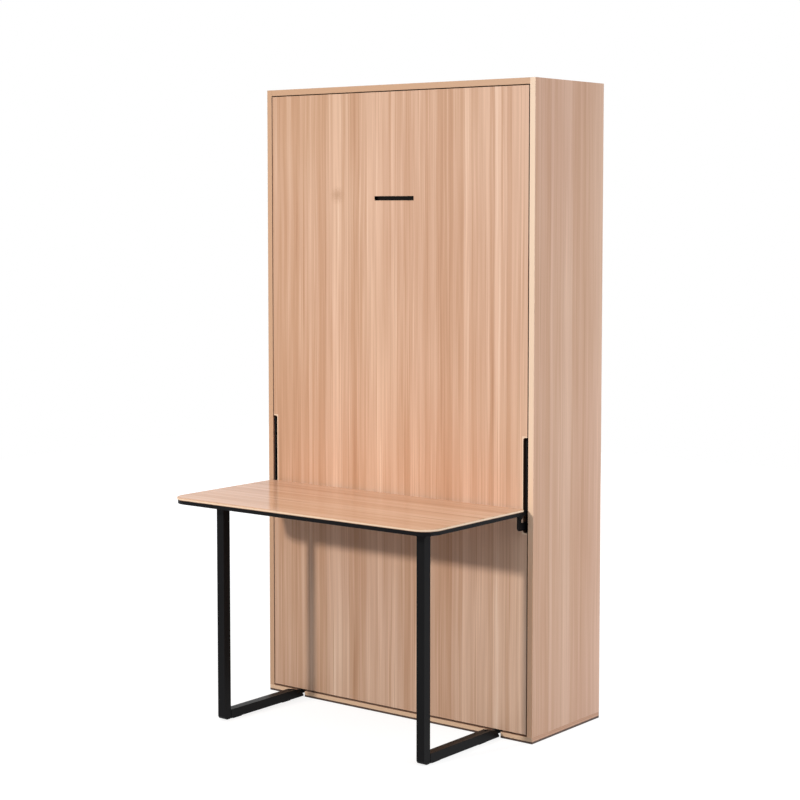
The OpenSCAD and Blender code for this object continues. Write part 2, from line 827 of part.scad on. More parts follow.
// Floor bar: tongue at the knee, forked and bevelled end at the cabinet
module floor_bar() {
    tongue = 10;
    bore = tube - 2 * tube_wall;
    fork_y = ear_pin.x - 34;
    color(steel) difference() {
        union() {
            slab(leg_x - tube / 2, leg_x + tube / 2) polygon([
                [bar_y0, pad_t], [bar_y1, pad_t], [bar_y1, pad_t + 6],
                [bar_y1 - 19, bar_z1 - 6], [bar_y1 - 46, bar_z1], [bar_y0, bar_z1]]);
            slab(leg_x - tongue / 2, leg_x + tongue / 2) {
                translate(knee) circle(knee_r);
                rect2d([knee.x, knee.y - knee_r], [bar_y0 + 1, knee.y + knee_r]);
            }
        }
        slab(leg_x - ear_t / 2 - 1, leg_x + ear_t / 2 + 1)
            rect2d([fork_y, -1], [bar_y1 + 1, bar_z1 + 1]);
        translate([leg_x - bore / 2, bar_y0 + 12, pad_t + tube_wall])
            cube([bore, fork_y - bar_y0 - 11, bore]);
        pin(leg_x - tube, leg_x + tube, knee, leg_pin_d + 2 * play);
        pin(leg_x - tube, leg_x + tube, ear_pin, leg_pin_d + 2 * play);
    }
}

// Rubber pads under the floor bar
module bar_pads() {
    color(rubber) for (y = [bar_y0 + 14, fork_pad_y()])
        translate([leg_x - 11, y, 0]) cube([22, 40, pad_t]);
}

function fork_pad_y() = ear_pin.x - 34 - 44;

// Link that keeps the desk level
module control_link() {
    color(steel) difference() {
        layer(link_a, link_a + link_t) link2d(link_foot, arm_top, link_w / 2);
        layer_pin(link_a - 1, link_a + link_t + 1, link_foot, hinge_d + 2 * play);
        layer_pin(link_a - 1, link_a + link_t + 1, arm_top, link_pin_d + 2 * play);
    }
}

// Gas spring

// Turns a piece drawn from the upper end downwards into the spring's line
module along_spring() {
    translate([inner_x - spring_c, spring_top.x, spring_top.y])
        rotate([spring_lean, 0, 0]) children();
}

module eye_x(z, r, bore) {
    translate([-6, 0, z]) rotate([0, 90, 0]) difference() {
        cylinder(h = 12, r = r);
        translate([0, 0, -1]) cylinder(h = 14, d = bore);
    }
}

module spring_cylinder() {
    color(steel) along_spring() {
        eye_x(0, spring_eye_r, link_pin_d + 2 * play);
        translate([0, 0, -24]) cylinder(h = 24 - spring_eye_r + 1, d = 9);
        translate([0, 0, -cylinder_len]) difference() {
            cylinder(h = cylinder_len - 22, d = spring_d);
            translate([0, 0, gland_t])
                cylinder(h = cylinder_len - 22 - gland_t - 4, d = spring_d - 2 * cylinder_wall);
            translate([0, 0, -1]) cylinder(h = gland_t + 2, d = rod_d + 2 * play);
        }
    }
}

module spring_rod() {
    piston_z = -cylinder_len + gland_t + 8;
    color(zinc) along_spring() {
        eye_x(-spring_len, 8, link_pin_d);
        translate([0, 0, -spring_len + 7]) cylinder(h = spring_len - 7 + piston_z, d = rod_d);
        translate([0, 0, piston_z - piston_t + 1])
            cylinder(h = piston_t, d = spring_d - 2 * cylinder_wall - 2 * play);
    }
}

on_side(-1) side_panel();  // side_panel_left
on_side(1) side_panel();  // side_panel_right
place() top_panel();
place() base_panel();
place() back_panel();
place() wall_rails();
on_side(-1) pivot_plate();  // pivot_plate_left
on_side(1) pivot_plate();  // pivot_plate_right
both() plate_screws();
on_side(-1) spring_bracket();  // spring_bracket_left
on_side(1) spring_bracket();  // spring_bracket_right
both() stop_block();  // stop_blocks
both() stop_buffer();  // stop_buffers
place() magnet_catch();
place() front_panel();
place() flush_pull();
on_side(-1) side_rail();  // side_rail_left
on_side(1) side_rail();  // side_rail_right
place() head_rail();
place() foot_rail();
place() cross_bars();
place() slats();
both() slat_caps();
place() mattress();
place() mattress_straps();
both() strap_anchors();
on_side(-1) bed_plate();  // bed_plate_left
on_side(1) bed_plate();  // bed_plate_right
on_side(-1) desk_lug();  // desk_lug_left
on_side(1) desk_lug();  // desk_lug_right
on_side(-1) bar_ear();  // bar_ear_left
on_side(1) bar_ear();  // bar_ear_right
both() ear_pins();
place() frame_screws();
place() catch_plate();
place() desk_top();
place() desk_front_rail();
place() desk_rear_rail();
on_side(-1) desk_arm();  // desk_arm_left
on_side(1) desk_arm();  // desk_arm_right
on_side(-1) leg_bracket();  // leg_bracket_left
on_side(1) leg_bracket();  // leg_bracket_right
both() arm_pins();
both() leg_pins();
both() desk_screws();
on_side(-1) leg();  // leg_left
on_side(1) leg();  // leg_right
on_side(-1) knee_pin();  // knee_pin_left
on_side(1) knee_pin();  // knee_pin_right
on_side(-1) floor_bar();  // floor_bar_left
on_side(1) floor_bar();  // floor_bar_right
on_side(-1) bar_pads();  // bar_pads_left
on_side(1) bar_pads();  // bar_pads_right
on_side(-1) control_link();  // control_link_left
on_side(1) control_link();  // control_link_right
on_side(-1) spring_cylinder();  // spring_cylinder_left
on_side(1) spring_cylinder();  // spring_cylinder_right
on_side(-1) spring_rod();  // spring_rod_left
on_side(1) spring_rod();  // spring_rod_right
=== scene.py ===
# %% [markdown]
# This notebook dresses a wall bed with a folding desk. The real object is an upright cabinet in
# pale wood laminate. Its whole front is the underside of a bed, and a desk on a black steel frame
# hangs in front of it. When the bed comes down, the desk stays level and goes under it. All of it
# could be modelled here, but then sizes and joints would drift away from the CAD model. So that
# model is loaded as a fixed frame, each of its pieces gets a finish, and only the soft pieces and
# the rounded edges are made new.

# %% Load the frame
import json
import math

import bmesh
import bpy
import numpy as np
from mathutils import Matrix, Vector


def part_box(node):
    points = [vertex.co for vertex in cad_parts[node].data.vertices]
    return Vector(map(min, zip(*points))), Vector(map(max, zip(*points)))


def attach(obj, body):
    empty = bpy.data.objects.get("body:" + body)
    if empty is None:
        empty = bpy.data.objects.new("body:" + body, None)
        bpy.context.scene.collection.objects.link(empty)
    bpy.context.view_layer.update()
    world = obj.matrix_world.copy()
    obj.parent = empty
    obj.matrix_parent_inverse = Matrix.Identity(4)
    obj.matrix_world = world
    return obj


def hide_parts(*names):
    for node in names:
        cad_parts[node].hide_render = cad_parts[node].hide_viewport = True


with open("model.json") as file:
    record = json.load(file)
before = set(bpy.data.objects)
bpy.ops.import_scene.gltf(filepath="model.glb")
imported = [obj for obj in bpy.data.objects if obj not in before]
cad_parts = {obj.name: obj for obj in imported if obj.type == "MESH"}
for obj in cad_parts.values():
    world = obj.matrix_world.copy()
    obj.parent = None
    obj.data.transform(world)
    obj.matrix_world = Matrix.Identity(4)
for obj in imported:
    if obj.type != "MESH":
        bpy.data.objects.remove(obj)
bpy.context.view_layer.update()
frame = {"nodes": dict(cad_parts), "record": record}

scene = bpy.context.scene

# %% [markdown]
# On the real object each piece is screwed or hinged to one other. The record says the same of the
# model: on which body a node rides, and to which slot its finish belongs. A new piece that stands
# for a node could be told both by hand, but what is read from the record can't disagree with it.
# Places are read the same way: the cabinet's front plane from a box, and the notch in the panel's
# edge, where the desk's upright stands, from the corners of the panel's own mesh.

# %% Bodies, slots and places
record = frame["record"]
body_of = {node: body for body, nodes in record["behaviour"]["bodies"].items() for node in nodes}
slot_of = {part["node"]: part["material_slot"] for part in record["subparts"]}


def box(node):
    """Lowest and highest corner of a node at rest, as two arrays."""
    low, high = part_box(node)
    return np.array(low), np.array(high)


def notch_of(node, reach=0.03, edge=0.001):
    """The notch in a panel's right edge: its inner x and its lowest and highest z, measured on
    the corners that lie further inside the edge than edge and less far than reach."""
    mesh = frame["nodes"][node].data
    places = np.empty(3 * len(mesh.vertices))
    mesh.vertices.foreach_get("co", places)
    x, _, z = places.reshape(-1, 3).T
    inside = (x < x.max() - edge) & (x > x.max() - reach)
    return float(x[inside].min()), float(z[inside].min()), float(z[inside].max())


front_y = float(box("side_panel_left")[0][1])
notch = notch_of("front_panel")
print("front plane at y", round(front_y, 4), "slots", len(set(slot_of.values())))
print("arm notch from x", round(notch[0], 4), "z", np.round(notch[1:], 4).tolist())

# %% [markdown]
# The photograph looks at the cabinet from the right, from about eye height and through a long
# lens. Such a view could be set by eye, but the place, the turn and the focal length here were
# fitted to the corners of the cabinet and the desk. The uprights hardly lean together, which a
# small lens shift does: the camera looks slightly down and the frame is moved with it. More shift
# would match closer, but would crop other views.

# %% Camera
PHOTO_PX = 800
SENSOR_MM = 36
FOCAL_PX = 1878
EYE = (3.8088, -5.0733, 1.6995)
YAW, PITCH = math.radians(37.861), math.radians(-4.174)
SHIFT = (0.0014, -0.07)

camera_data = bpy.data.cameras.new("camera")
camera_data.sensor_width = SENSOR_MM
camera_data.lens = FOCAL_PX / PHOTO_PX * SENSOR_MM
camera_data.shift_x, camera_data.shift_y = SHIFT
camera = bpy.data.objects.new("camera", camera_data)
camera.location = EYE
camera.rotation_euler = (math.pi / 2 + PITCH, 0, YAW)
scene.collection.objects.link(camera)
scene.camera = camera
print("lens", round(camera_data.lens, 1), "mm")

# %% [markdown]
# A procedural finish is a sum of patterns. The sum could be wired node by node, but that hides
# it. Here a small class wraps a socket, and adding or multiplying two of them makes the Math node
# and gives back its result. Comparing two gives a mask of 0 and 1, and the bar joins two masks.

# %% Numbers that vary over a surface
class Field:
    """A number that varies over a surface. Each operator adds the Math node that works it out."""

    def __init__(self, graph, socket):
        self.graph = graph
        self.socket = socket

    def compute(self, operation, *values):
        return self.graph.node("ShaderNodeMath", dict(enumerate(values)), operation=operation)

    def __add__(self, other):
        return self.compute("ADD", self, other)

    def __sub__(self, other):
        return self.compute("SUBTRACT", self, other)

    def __rsub__(self, other):
        return self.compute("SUBTRACT", other, self)

    def __mul__(self, other):
        return self.compute("MULTIPLY", self, other)

    __radd__ = __add__
    __rmul__ = __mul__

    def __lt__(self, other):
        return self.compute("LESS_THAN", self, other)

    def __gt__(self, other):
        return self.compute("GREATER_THAN", self, other)

    def __or__(self, other):
        return self.compute("MAXIMUM", self, other)

    def __abs__(self):
        return self.compute("ABSOLUTE", self)

    def fold(self, span):
        """Goes up from 0 to span and down again, over and over."""
        return self.compute("PINGPONG", self, span)

    def wave(self, pitch):
        """Sine wave whose crests lie pitch apart: sin(2 pi * value / pitch)."""
        return self.compute("SINE", self * (math.tau / pitch))

    def rise(self, low, high):
        """0 below low, 1 above high, and a smooth step between them."""
        inputs = {"Value": self, "From Min": low, "From Max": high}
        return self.graph.node("ShaderNodeMapRange", inputs, interpolation_type="SMOOTHSTEP")


print("fields are ready")

# %% [markdown]
# A Math node turns a colour grey, so colours need other nodes. One method adds a node of any
# kind: it sets the node's settings first, then a ramp's colours, and then the values or links of
# its sockets. It could be one method for each kind, but then most of the file would be those.

# %% A shader tree
class Graph:
    """A shader tree, with one method that adds any node and one that ends the tree."""

    def __init__(self, tree):
        self.tree = tree
        tree.nodes.clear()

    def node(self, kind, inputs=None, output=0, stops=(), **settings):
        made = self.tree.nodes.new(kind)
        for name, value in settings.items():
            setattr(made, name, value)
        for number, (place, colour) in enumerate(stops):
            elements = made.color_ramp.elements
            stop = elements[number] if number < 2 else elements.new(place)
            stop.position, stop.color = place, (*colour, 1)
        for key, value in (inputs or {}).items():
            if isinstance(value, Field):
                self.tree.links.new(value.socket, made.inputs[key])
            elif made.inputs[key].type == "RGBA":
                made.inputs[key].default_value = (*value, 1)
            else:
                made.inputs[key].default_value = value
        return Field(self, made.outputs[output])

    def end(self, kind, shader):
        """Links a shader's socket to a new output node of the tree."""
        output = self.tree.nodes.new(kind)
        self.tree.links.new(shader, output.inputs["Surface"])

    def mix(self, share, low, high, blend="MIX"):
        """Colour low where share is 0, high or its product with low where share is 1."""
        return self.node("ShaderNodeMix", {0: share, 6: low, 7: high}, 2,
                         data_type="RGBA", blend_type=blend)


print("shader trees are ready")

# %% [markdown]
# The photograph is a studio picture on pure white. Its even light comes mostly from above, so the
# panel under the desk and the lower parts of the boards are darker. Many lamps could do that, but
# a plain world that brightens from the horizon to the zenith is cheaper and has no hard shadows.
# The camera, and rays in gloss or glass, see white in its place. That keeps the background white
# with no extra light on the wood.

# %% The sky
HORIZON, ZENITH = 0.04, 1.16
COOLNESS = 0.03
WHITE = (1, 1, 1)

world = bpy.data.worlds.new("studio")
scene.world = world
world.use_nodes = True
sky = Graph(world.node_tree)
camera_ray, gloss_ray, glass_ray = (sky.node("ShaderNodeLightPath", output=f"Is {ray} Ray")
                                    for ray in ("Camera", "Glossy", "Transmission"))
direction = sky.node("ShaderNodeTexCoord", output="Generated")
height = sky.node("ShaderNodeSeparateXYZ", {0: direction}, "Z")
level = height.rise(0.0, 1.0) * (ZENITH - HORIZON) + HORIZON
even = sky.node("ShaderNodeCombineColor",
                {0: level * (1 - COOLNESS), 1: level, 2: level * (1 + COOLNESS)})
sky_colour = sky.mix(camera_ray | gloss_ray | glass_ray, even, WHITE)
sky.end("ShaderNodeOutputWorld", sky.node("ShaderNodeBackground", {"Color": sky_colour}).socket)
print("sky from", HORIZON, "to", ZENITH)

# %% [markdown]
# One warm key lamp stands in front, high and a little to the left. It draws the soft edged shadow
# of the desk on the panel and leaves the right side in shade. A cooler lamp at the right fills
# that side, and a third behind lights the back, which would be dull in views from there. A sun
# would be simpler than the key, but its shadows would be too hard and would lie at one angle.

# %% Key, fill and rear lamps
def lamp(name, kind, watts, colour, place, target, **settings):
    """Adds a lamp at a place and turns it so that it shines towards a target."""
    data = bpy.data.lights.new(name, kind)
    data.energy, data.color = watts, colour
    for key, value in settings.items():
        setattr(data, key, value)
    made = bpy.data.objects.new(name, data)
    made.location = place
    way = Vector(target) - Vector(place)
    made.rotation_euler = way.to_track_quat("-Z", "Y").to_euler()
    scene.collection.objects.link(made)
    return made


WARM, COLD, NEUTRAL = (1.0, 0.945, 0.885), (0.90, 0.96, 1.0), (0.97, 0.98, 1.0)

key = lamp("key", "SPOT", 516, WARM, (-0.97, -4.82, 2.27), (0.0, -0.20, 1.70),
           spot_size=math.radians(74), spot_blend=1.0, shadow_soft_size=0.14)
fill = lamp("fill", "AREA", 75, COLD, (4.2, 0.1, 1.3), (0.0, 0.1, 1.3),
            shape="RECTANGLE", size=2.4, size_y=2.6)
rear = lamp("rear", "AREA", 80, NEUTRAL, (-3.2, 4.3, 1.6), (0.0, 0.3, 0.4),
            shape="RECTANGLE", size=2.6, size_y=2.4)
rear.visible_glossy = False
print("lamps", [made.name for made in (key, fill, rear)])

# %% [markdown]
# The object stands on a white sweep. The floor has to do two things at once: it throws light back
# up onto the wood, and it shows only a trace of shadow. A plain white floor would throw back too
# much. So its paint is grey, and for the camera and in gloss it glows as well: lit parts clip to
# white, and only the closest shadows stay grey.

# %% Floor
FLOOR_HALF = 6.0
FLOOR_PAINT = (0.30, 0.30, 0.30)
FLOOR_GLOW = 0.80

floor_mesh = bpy.data.meshes.new("floor")
square = np.array([[-1, -1, 0], [1, -1, 0], [1, 1, 0], [-1, 1, 0]]) * FLOOR_HALF
floor_mesh.from_pydata(square.tolist(), [], [(0, 1, 2, 3)])
floor = bpy.data.objects.new("floor", floor_mesh)
scene.collection.objects.link(floor)

sweep = bpy.data.materials.new("white sweep")
sweep.use_nodes = True
paint = Graph(sweep.node_tree)
seen = (paint.node("ShaderNodeLightPath", output="Is Camera Ray")
        | paint.node("ShaderNodeLightPath", output="Is Glossy Ray"))
matt = paint.node("ShaderNodeBsdfDiffuse", {"Color": FLOOR_PAINT})
glow = paint.node("ShaderNodeEmission", {"Strength": seen * FLOOR_GLOW})
paint.end("ShaderNodeOutputMaterial", paint.node("ShaderNodeAddShader", {0: matt, 1: glow}).socket)
floor_mesh.materials.append(sweep)
print("floor", 2 * FLOOR_HALF, "m wide")

# %% [markdown]
# Every finish here is one Principled shader, which covers wood, paint, metal and cloth alike.
# What is the same all over a piece is set on the shader itself, and what changes over the surface
# is linked to it. The patterns could lie on UV maps, but they read the piece's own coordinates,
# which need no unwrapping and stay on the piece when the bed comes down.

# %% Finish
def tint(*levels):
    """A colour written as 0 to 255 levels, as linear light: levels / 255 to the power 2.2."""
    return tuple(float((v / 255) ** 2.2) for v in levels)


class Finish(Graph):
    """A material with one Principled shader."""

    def __init__(self, name, constants):
        self.material = bpy.data.materials.new(name)
        self.material.use_nodes = True
        super().__init__(self.material.node_tree)
        self.shader = self.tree.nodes.new("ShaderNodeBsdfPrincipled")
        self.end("ShaderNodeOutputMaterial", self.shader.outputs[0])
        for key, value in constants.items():
            self.shader.inputs[key].default_value = value
        self.place = self.node("ShaderNodeTexCoord", output="Object")
        self.facing = self.node("ShaderNodeTexCoord", output="Normal")

    def link(self, **fields):
        """Links fields to the shader: base_color goes to Base Color, and so on."""
        for key, value in fields.items():
            socket = self.shader.inputs[key.replace("_", " ").title()]
            self.tree.links.new(value.socket, socket)
        return self.material

    def along(self, direction, of=None):
        """How far a point lies along a direction: their dot product."""
        inputs = {0: of or self.place, 1: direction}
        return self.node("ShaderNodeVectorMath", inputs, "Value", operation="DOT_PRODUCT")

    def point(self, x, y=0.0, z=0.0):
        return self.node("ShaderNodeCombineXYZ", {0: x, 1: y, 2: z})

    def noise(self, vector, scale=1.0, detail=2.0):
        return self.node("ShaderNodeTexNoise", {"Vector": vector, "Scale": scale, "Detail": detail})

    def bump(self, height, depth):
        """Normal of a surface raised by height times depth, in metres."""
        return self.node("ShaderNodeBump", {"Strength": 1.0, "Distance": depth, "Height": height})


X, Y, Z = (1, 0, 0), (0, 1, 0), (0, 0, 1)
FRONT = (0, -1, 0)
print("finishes are ready")

# %% [markdown]
# The boards are covered with a printed laminate that copies quarter-sawn wood: straight strips
# from one to six centimetres wide, each with its own tone, some with a thin dark border, and fine
# pores along them. An image would do, but it would stretch over the cut edges. Here the strips
# are cells on a line across the grain, which keeps their borders sharp, and noise that is short
# across the grain and long along it gives the fibres. All of a board's patterns read the same
# places, so they waver together.

# %% One sheet of laminate
STRIPS = 19.0
THREADS = 48.0
WAVER = 0.012


class Sheet:
    """Places and noises that the patterns of one sheet share. across and along are metres on the
    board, u is across moved by start, so that no two boards are alike, and w is u moved by slow
    noise, so that the strips waver a little."""

    def __init__(self, finish, across, along, start):
        self.finish = finish
        self.start = start
        self.across, self.along = finish.along(across), finish.along(along)
        self.u = self.across + start
        sway = finish.noise(finish.point(self.u * 2.0, self.along, start), 1.3)
        self.w = self.u + (sway - 0.5) * WAVER
        self.slow = finish.noise(finish.point(self.u, self.along * 0.35, start), 2.6)
        self.fibre = self.fibres(92, 2.0, 1.5)
        self.pores = self.fibres(900, 14, 2.0)

    def fibres(self, fine, long, detail, shift=0.0):
        """Noise with fine grains in a metre across the wood and long grains in a metre along."""
        f = self.finish
        return f.noise(f.point(self.w * fine, self.along * long, self.start + shift), 1.0, detail)

    def cells(self, scale, shift, blur):
        """Cells on a line across the grain, scale of them in a metre, with two random numbers
        each. The more blur, the softer they run into the next cell's."""
        inputs = {"W": self.w + shift, "Scale": scale, "Smoothness": blur, "Randomness": 1.0}
        colour = self.finish.node("ShaderNodeTexVoronoi", inputs, "Color",
                                  voronoi_dimensions="1D", feature="SMOOTH_F1")
        return [self.finish.node("ShaderNodeSeparateColor", {0: colour}, k) for k in range(2)]

    def to_border(self, scale):
        """Distance to the nearest border between the cells, in cell widths."""
        inputs = {"W": self.w, "Scale": scale, "Randomness": 1.0}
        return self.finish.node("ShaderNodeTexVoronoi", inputs, "Distance",
                                voronoi_dimensions="1D", feature="DISTANCE_TO_EDGE")


print("strips in a metre", STRIPS, "threads", THREADS)

# %% [markdown]
# The tone of the wood is one sum: wide strips, narrow threads, fibres, slow drift, pale glints
# and dark lines. A ramp turns it into colour, from brown through tan to a pale pink. The shares
# were set against the photograph; depth scales all but the drift at once, because the
# sides and the desk show a quieter grain than the panel.

# %% Tone of the wood
WOOD_TONES = [(0.0, tint(190, 142, 109)), (0.32, tint(208, 163, 131)),
              (0.58, tint(222, 181, 152)), (0.82, tint(236, 196, 167)),
              (1.0, tint(246, 212, 186))]
LINE_TONE = tint(176, 130, 98)
LINE_SHARE = 0.34
STRIP_SHARE, THREAD_SHARE, FIBRE_SHARE = 0.36, 0.34, 0.66
SLOW_SHARE, GLINT_SHARE, DARK_SHARE = 0.35, 0.22, 0.26


def wood_of(sheet, depth):
    """Colour of the bare grain. The tone is 0.5 plus each pattern, less its middle, times its
    share and depth, and the slow drift takes its share alone. On about half of the strips the
    border is drawn as a darker line."""
    f = sheet.finish
    strip, lined = sheet.cells(STRIPS, 0.0, 0.35)
    thread, _ = sheet.cells(THREADS, 7.3, 0.55)
    glint = sheet.fibres(190, 1.6, 1.0, shift=2.0).rise(0.58, 0.72)
    dark = sheet.fibres(240, 1.1, 1.0, shift=6.0).rise(0.60, 0.72)
    tone = (0.50 + (strip - 0.5) * (STRIP_SHARE * depth) + (thread - 0.5) * (THREAD_SHARE * depth)
            + (sheet.fibre - 0.5) * (FIBRE_SHARE * depth) + (sheet.slow - 0.5) * SLOW_SHARE
            + glint * (GLINT_SHARE * depth) - dark * (DARK_SHARE * depth))
    wood = f.node("ShaderNodeValToRGB", {0: tone}, stops=WOOD_TONES)
    border = (1 - sheet.to_border(STRIPS).rise(0.0, 0.05)) * (lined > 0.5)
    return f.mix(border * LINE_SHARE, wood, LINE_TONE)


print("wood tones", len(WOOD_TONES))

# %% [markdown]
# Real wood is not even: the photograph shows a small dark figure left of the pull and long dark
# veins in the desk top. A stronger noise would put such marks anywhere. Each is a function
# instead, which takes the sheet and its colour and gives the colour back with the mark on it.

# %% Marks in the grain
SWIRL_TONE = tint(178, 134, 100)
SWIRL_ACROSS, SWIRL_ALONG = 32, 36
VEIN_TONE = tint(160, 114, 82)
VEIN_CORE, VEIN_HALF = 0.001, 0.005
MARK_SHARE = 0.6


def swirl(across, along):
    """A small dark figure at a place. It fades with the distance from there, which is counted
    in steps of about three centimetres and made uneven by noise."""
    def mark(sheet, wood):
        f = sheet.finish
        away = f.point((sheet.across - across) * SWIRL_ACROSS,
                       (sheet.along - along) * SWIRL_ALONG)
        far = f.node("ShaderNodeVectorMath", {0: away}, "Value", operation="LENGTH")
        uneven = f.noise(f.point(sheet.u * 260, sheet.along * 200, 5.0), 1.0, 3.0)
        return f.mix((1 - (far + uneven * 1.2).rise(0.4, 1.9)) * MARK_SHARE, wood, SWIRL_TONE)
    return mark


def vein(across):
    """A dark growth line at a place across the grain. It wavers with the sheet's noises, fades
    from VEIN_CORE to VEIN_HALF on each side, and comes and goes along its length."""
    def mark(sheet, wood):
        f = sheet.finish
        waver = (sheet.slow - 0.5) * 0.03 + (sheet.fibre - 0.5) * 0.004
        off = abs(sheet.across - across + waver)
        shown = f.noise(f.point(sheet.along * 2.6, across * 40, sheet.start), 1.0, 1.0)
        line = (1 - off.rise(VEIN_CORE, VEIN_HALF)) * shown.rise(0.34, 0.58)
        return f.mix(line * MARK_SHARE, wood, VEIN_TONE)
    return mark


print("marks are ready")

# %% [markdown]
# The boards also differ as wholes, and some of it is painted light and shade. The side boards and
# the base get a faint pink darkening, painted shade for boards that stand out of the key lamp's
# light, and the panel is painted paler and cooler near the floor, as painted light. Its notches are
# edged with a thin pale line, a painted highlight, and the base board ends in a thin dark one, a
# painted contact shadow. All of it could be left to the lamps, but then it would be lost in other
# light. Like the marks, each shade is a function from colour to colour.

# %% Painted light and shade
# Width of the painted highlight round the notches.
NOTCH_HIGHLIGHT_WIDTH = 0.005
# Height and tone of the painted contact shadow at the foot of the base board.
CONTACT_SHADOW_HEIGHT = 0.007
# Cream: the desk's band, and the painted highlights on the right side board and round the notches.
CREAM_BAND_AND_HIGHLIGHT = tint(255, 226, 198)
CONTACT_SHADOW_TONE = tint(74, 52, 40)
# Painted shade: the pink darkening of boards out of the key lamp's light.
PAINTED_SHADE_PINK = (0.975, 0.955, 0.985)
# Painted light: the paler, cooler lower part of the panel, and where it fades out.
LOW_LIGHT_TINT = (1.03, 1.065, 1.11)
LOW_LIGHT_FULL, LOW_LIGHT_GONE = 0.30, 0.90


def painted_shade_pink(sheet, wood):
    """Painted shade: a faint pink darkening for boards out of the key lamp's light."""
    return sheet.finish.mix(1.0, wood, PAINTED_SHADE_PINK, "MULTIPLY")


def painted_low_light(sheet, wood):
    """Painted light: paler and cooler near the floor, fully below 0.3 m and not above 0.9 m."""
    share = 1 - sheet.along.rise(LOW_LIGHT_FULL, LOW_LIGHT_GONE)
    return sheet.finish.mix(share, wood, LOW_LIGHT_TINT, "MULTIPLY")


def notch_highlight(sheet, wood):
    """Painted highlight: a pale line, 5 mm wide, round the notches at both edges of the panel."""
    inner, low, high = notch
    line = ((abs(sheet.across) > inner - NOTCH_HIGHLIGHT_WIDTH) * (sheet.along > low - NOTCH_HIGHLIGHT_WIDTH)
            * (sheet.along < high + NOTCH_HIGHLIGHT_WIDTH))
    return sheet.finish.mix(line * 0.75, wood, CREAM_BAND_AND_HIGHLIGHT)


def contact_shadow_line(sheet, colour):
    """Painted contact shadow: a dark line, 7 mm high, where the base board meets the floor."""
    return sheet.finish.mix(sheet.across < CONTACT_SHADOW_HEIGHT, colour, CONTACT_SHADOW_TONE)


# Prints the width of the painted notch highlight and the height of the painted contact shadow.
print("trim", NOTCH_HIGHLIGHT_WIDTH, "m, foot", CONTACT_SHADOW_HEIGHT, "m")

# %% [markdown]
# A board's cut edges are closed with a glued band. It is tan on the left and top boards, paler on
# the base, and cream on the desk. On the right side board the same band is painted cream as well,
# brighter than on the left, as a painted highlight. On the panel the rim is painted dark, painted
# shade that deepens the reveal round it. The bands could be thin pieces of their own, but a board's
# normal already tells where its edge faces, so a mask of it picks the band. On the right side board
# the band is painted warmer towards the floor, as painted shade where the desk and the leg shade
# it, so a second tone can take over there.

# %% Edge bands
TAN_BAND = tint(212, 170, 137)
PALE_BAND = tint(244, 206, 172)
# Painted shade: the warmer tone of the right side board's band towards the floor.
SHADED_BAND_TONE = tint(255, 202, 164)
# Painted shade: the dark rim of the panel, which deepens the reveal round it.
REVEAL_SHADE_TONE = tint(62, 38, 28)
BAND_CLOUD = tint(214, 170, 136)
LOW_FULL, LOW_GONE = 0.4, 1.0


def faces_along(direction, level=0.7):
    """Mask of the faces that look along a direction."""
    return lambda f: f.along(direction, f.facing) > level


def rim_of(axis, level):
    """Mask of a board's rim: every face but the two large ones, which look along the axis. A
    level near 1 takes in the rounding between them too."""
    return lambda f: abs(f.along(axis, f.facing)) < level


def band_of(sheet, band, shade_band):
    """Colour of the band: slightly cloudy, and the given painted shade tone near the floor, if any.
    """
    f = sheet.finish
    if shade_band:
        # Painted shade: towards the floor the band turns to the warmer shaded tone.
        band = f.mix(sheet.along.rise(LOW_FULL, LOW_GONE), shade_band, band)
    cloud = f.noise(f.point(sheet.u * 40, sheet.along * 2, 3.0))
    return f.mix(cloud * 0.2, band, BAND_CLOUD)


print("low band fades from", LOW_FULL, "to", LOW_GONE, "m")

# %% [markdown]
# Now the laminate is the grain, its marks, a slow drift between tan and pink, the pores, the
# board's painted light and shade, and the band over its edge. The pores also give the faint
# relief. It could be six materials made one by one, but they would drift apart. Instead one
# function makes all six, and each says which way its grain runs, where its sheet starts, and what
# is special on it.

# %% The six laminates
PORE_TONE = tint(168, 124, 96)
PORE_SHARE, PORE_DEPTH = 0.12, 0.00006
DRIFT_TONE = (0.985, 0.925, 0.955)
DRIFT_SHARE = 0.40


def laminate(name, across, along, edge, band, start, depth=1.0, gloss=0.42, shine=0.42,
             marks=(), shades=(), lines=(), shade_band=None):
    """Wood laminate whose grain runs along. edge(finish) is the mask of the band; the functions
    in marks, shades and lines are applied in turn to the grain, the board and the whole."""
    f = Finish(name, {"Specular IOR Level": shine})
    sheet = Sheet(f, across, along, start)
    wood = wood_of(sheet, depth)
    for mark in marks:
        wood = mark(sheet, wood)
    drift = f.noise(f.point(sheet.u, sheet.along * 0.5, start + 4.0), 1.7).rise(0.35, 0.65)
    wood = f.mix(drift * DRIFT_SHARE, wood, DRIFT_TONE, "MULTIPLY")
    wood = f.mix((sheet.pores - 0.5).rise(0.08, 0.3) * PORE_SHARE, wood, PORE_TONE)
    for shade in shades:
        wood = shade(sheet, wood)
    colour = f.mix(edge(f), wood, band_of(sheet, band, shade_band))
    for line in lines:
        colour = line(sheet, colour)
    return f.link(base_color=colour,
                  roughness=gloss + (sheet.fibre - 0.5) * 0.10 + (sheet.slow - 0.5) * 0.06,
                  normal=f.bump(sheet.pores, PORE_DEPTH))


# Painted highlight: this band is painted brighter than the same band on the left side board.
wood_side = laminate("laminate, right side", Y, Z, faces_along(FRONT), CREAM_BAND_AND_HIGHLIGHT, 3.1,
                     depth=0.62, shades=[painted_shade_pink], shade_band=SHADED_BAND_TONE)
wood_left = laminate("laminate, left side", Y, Z, faces_along(FRONT), TAN_BAND, 4.6,
                     depth=0.62, shades=[painted_shade_pink])
wood_top = laminate("laminate, top board", Y, X, faces_along(FRONT), TAN_BAND, 5.2)
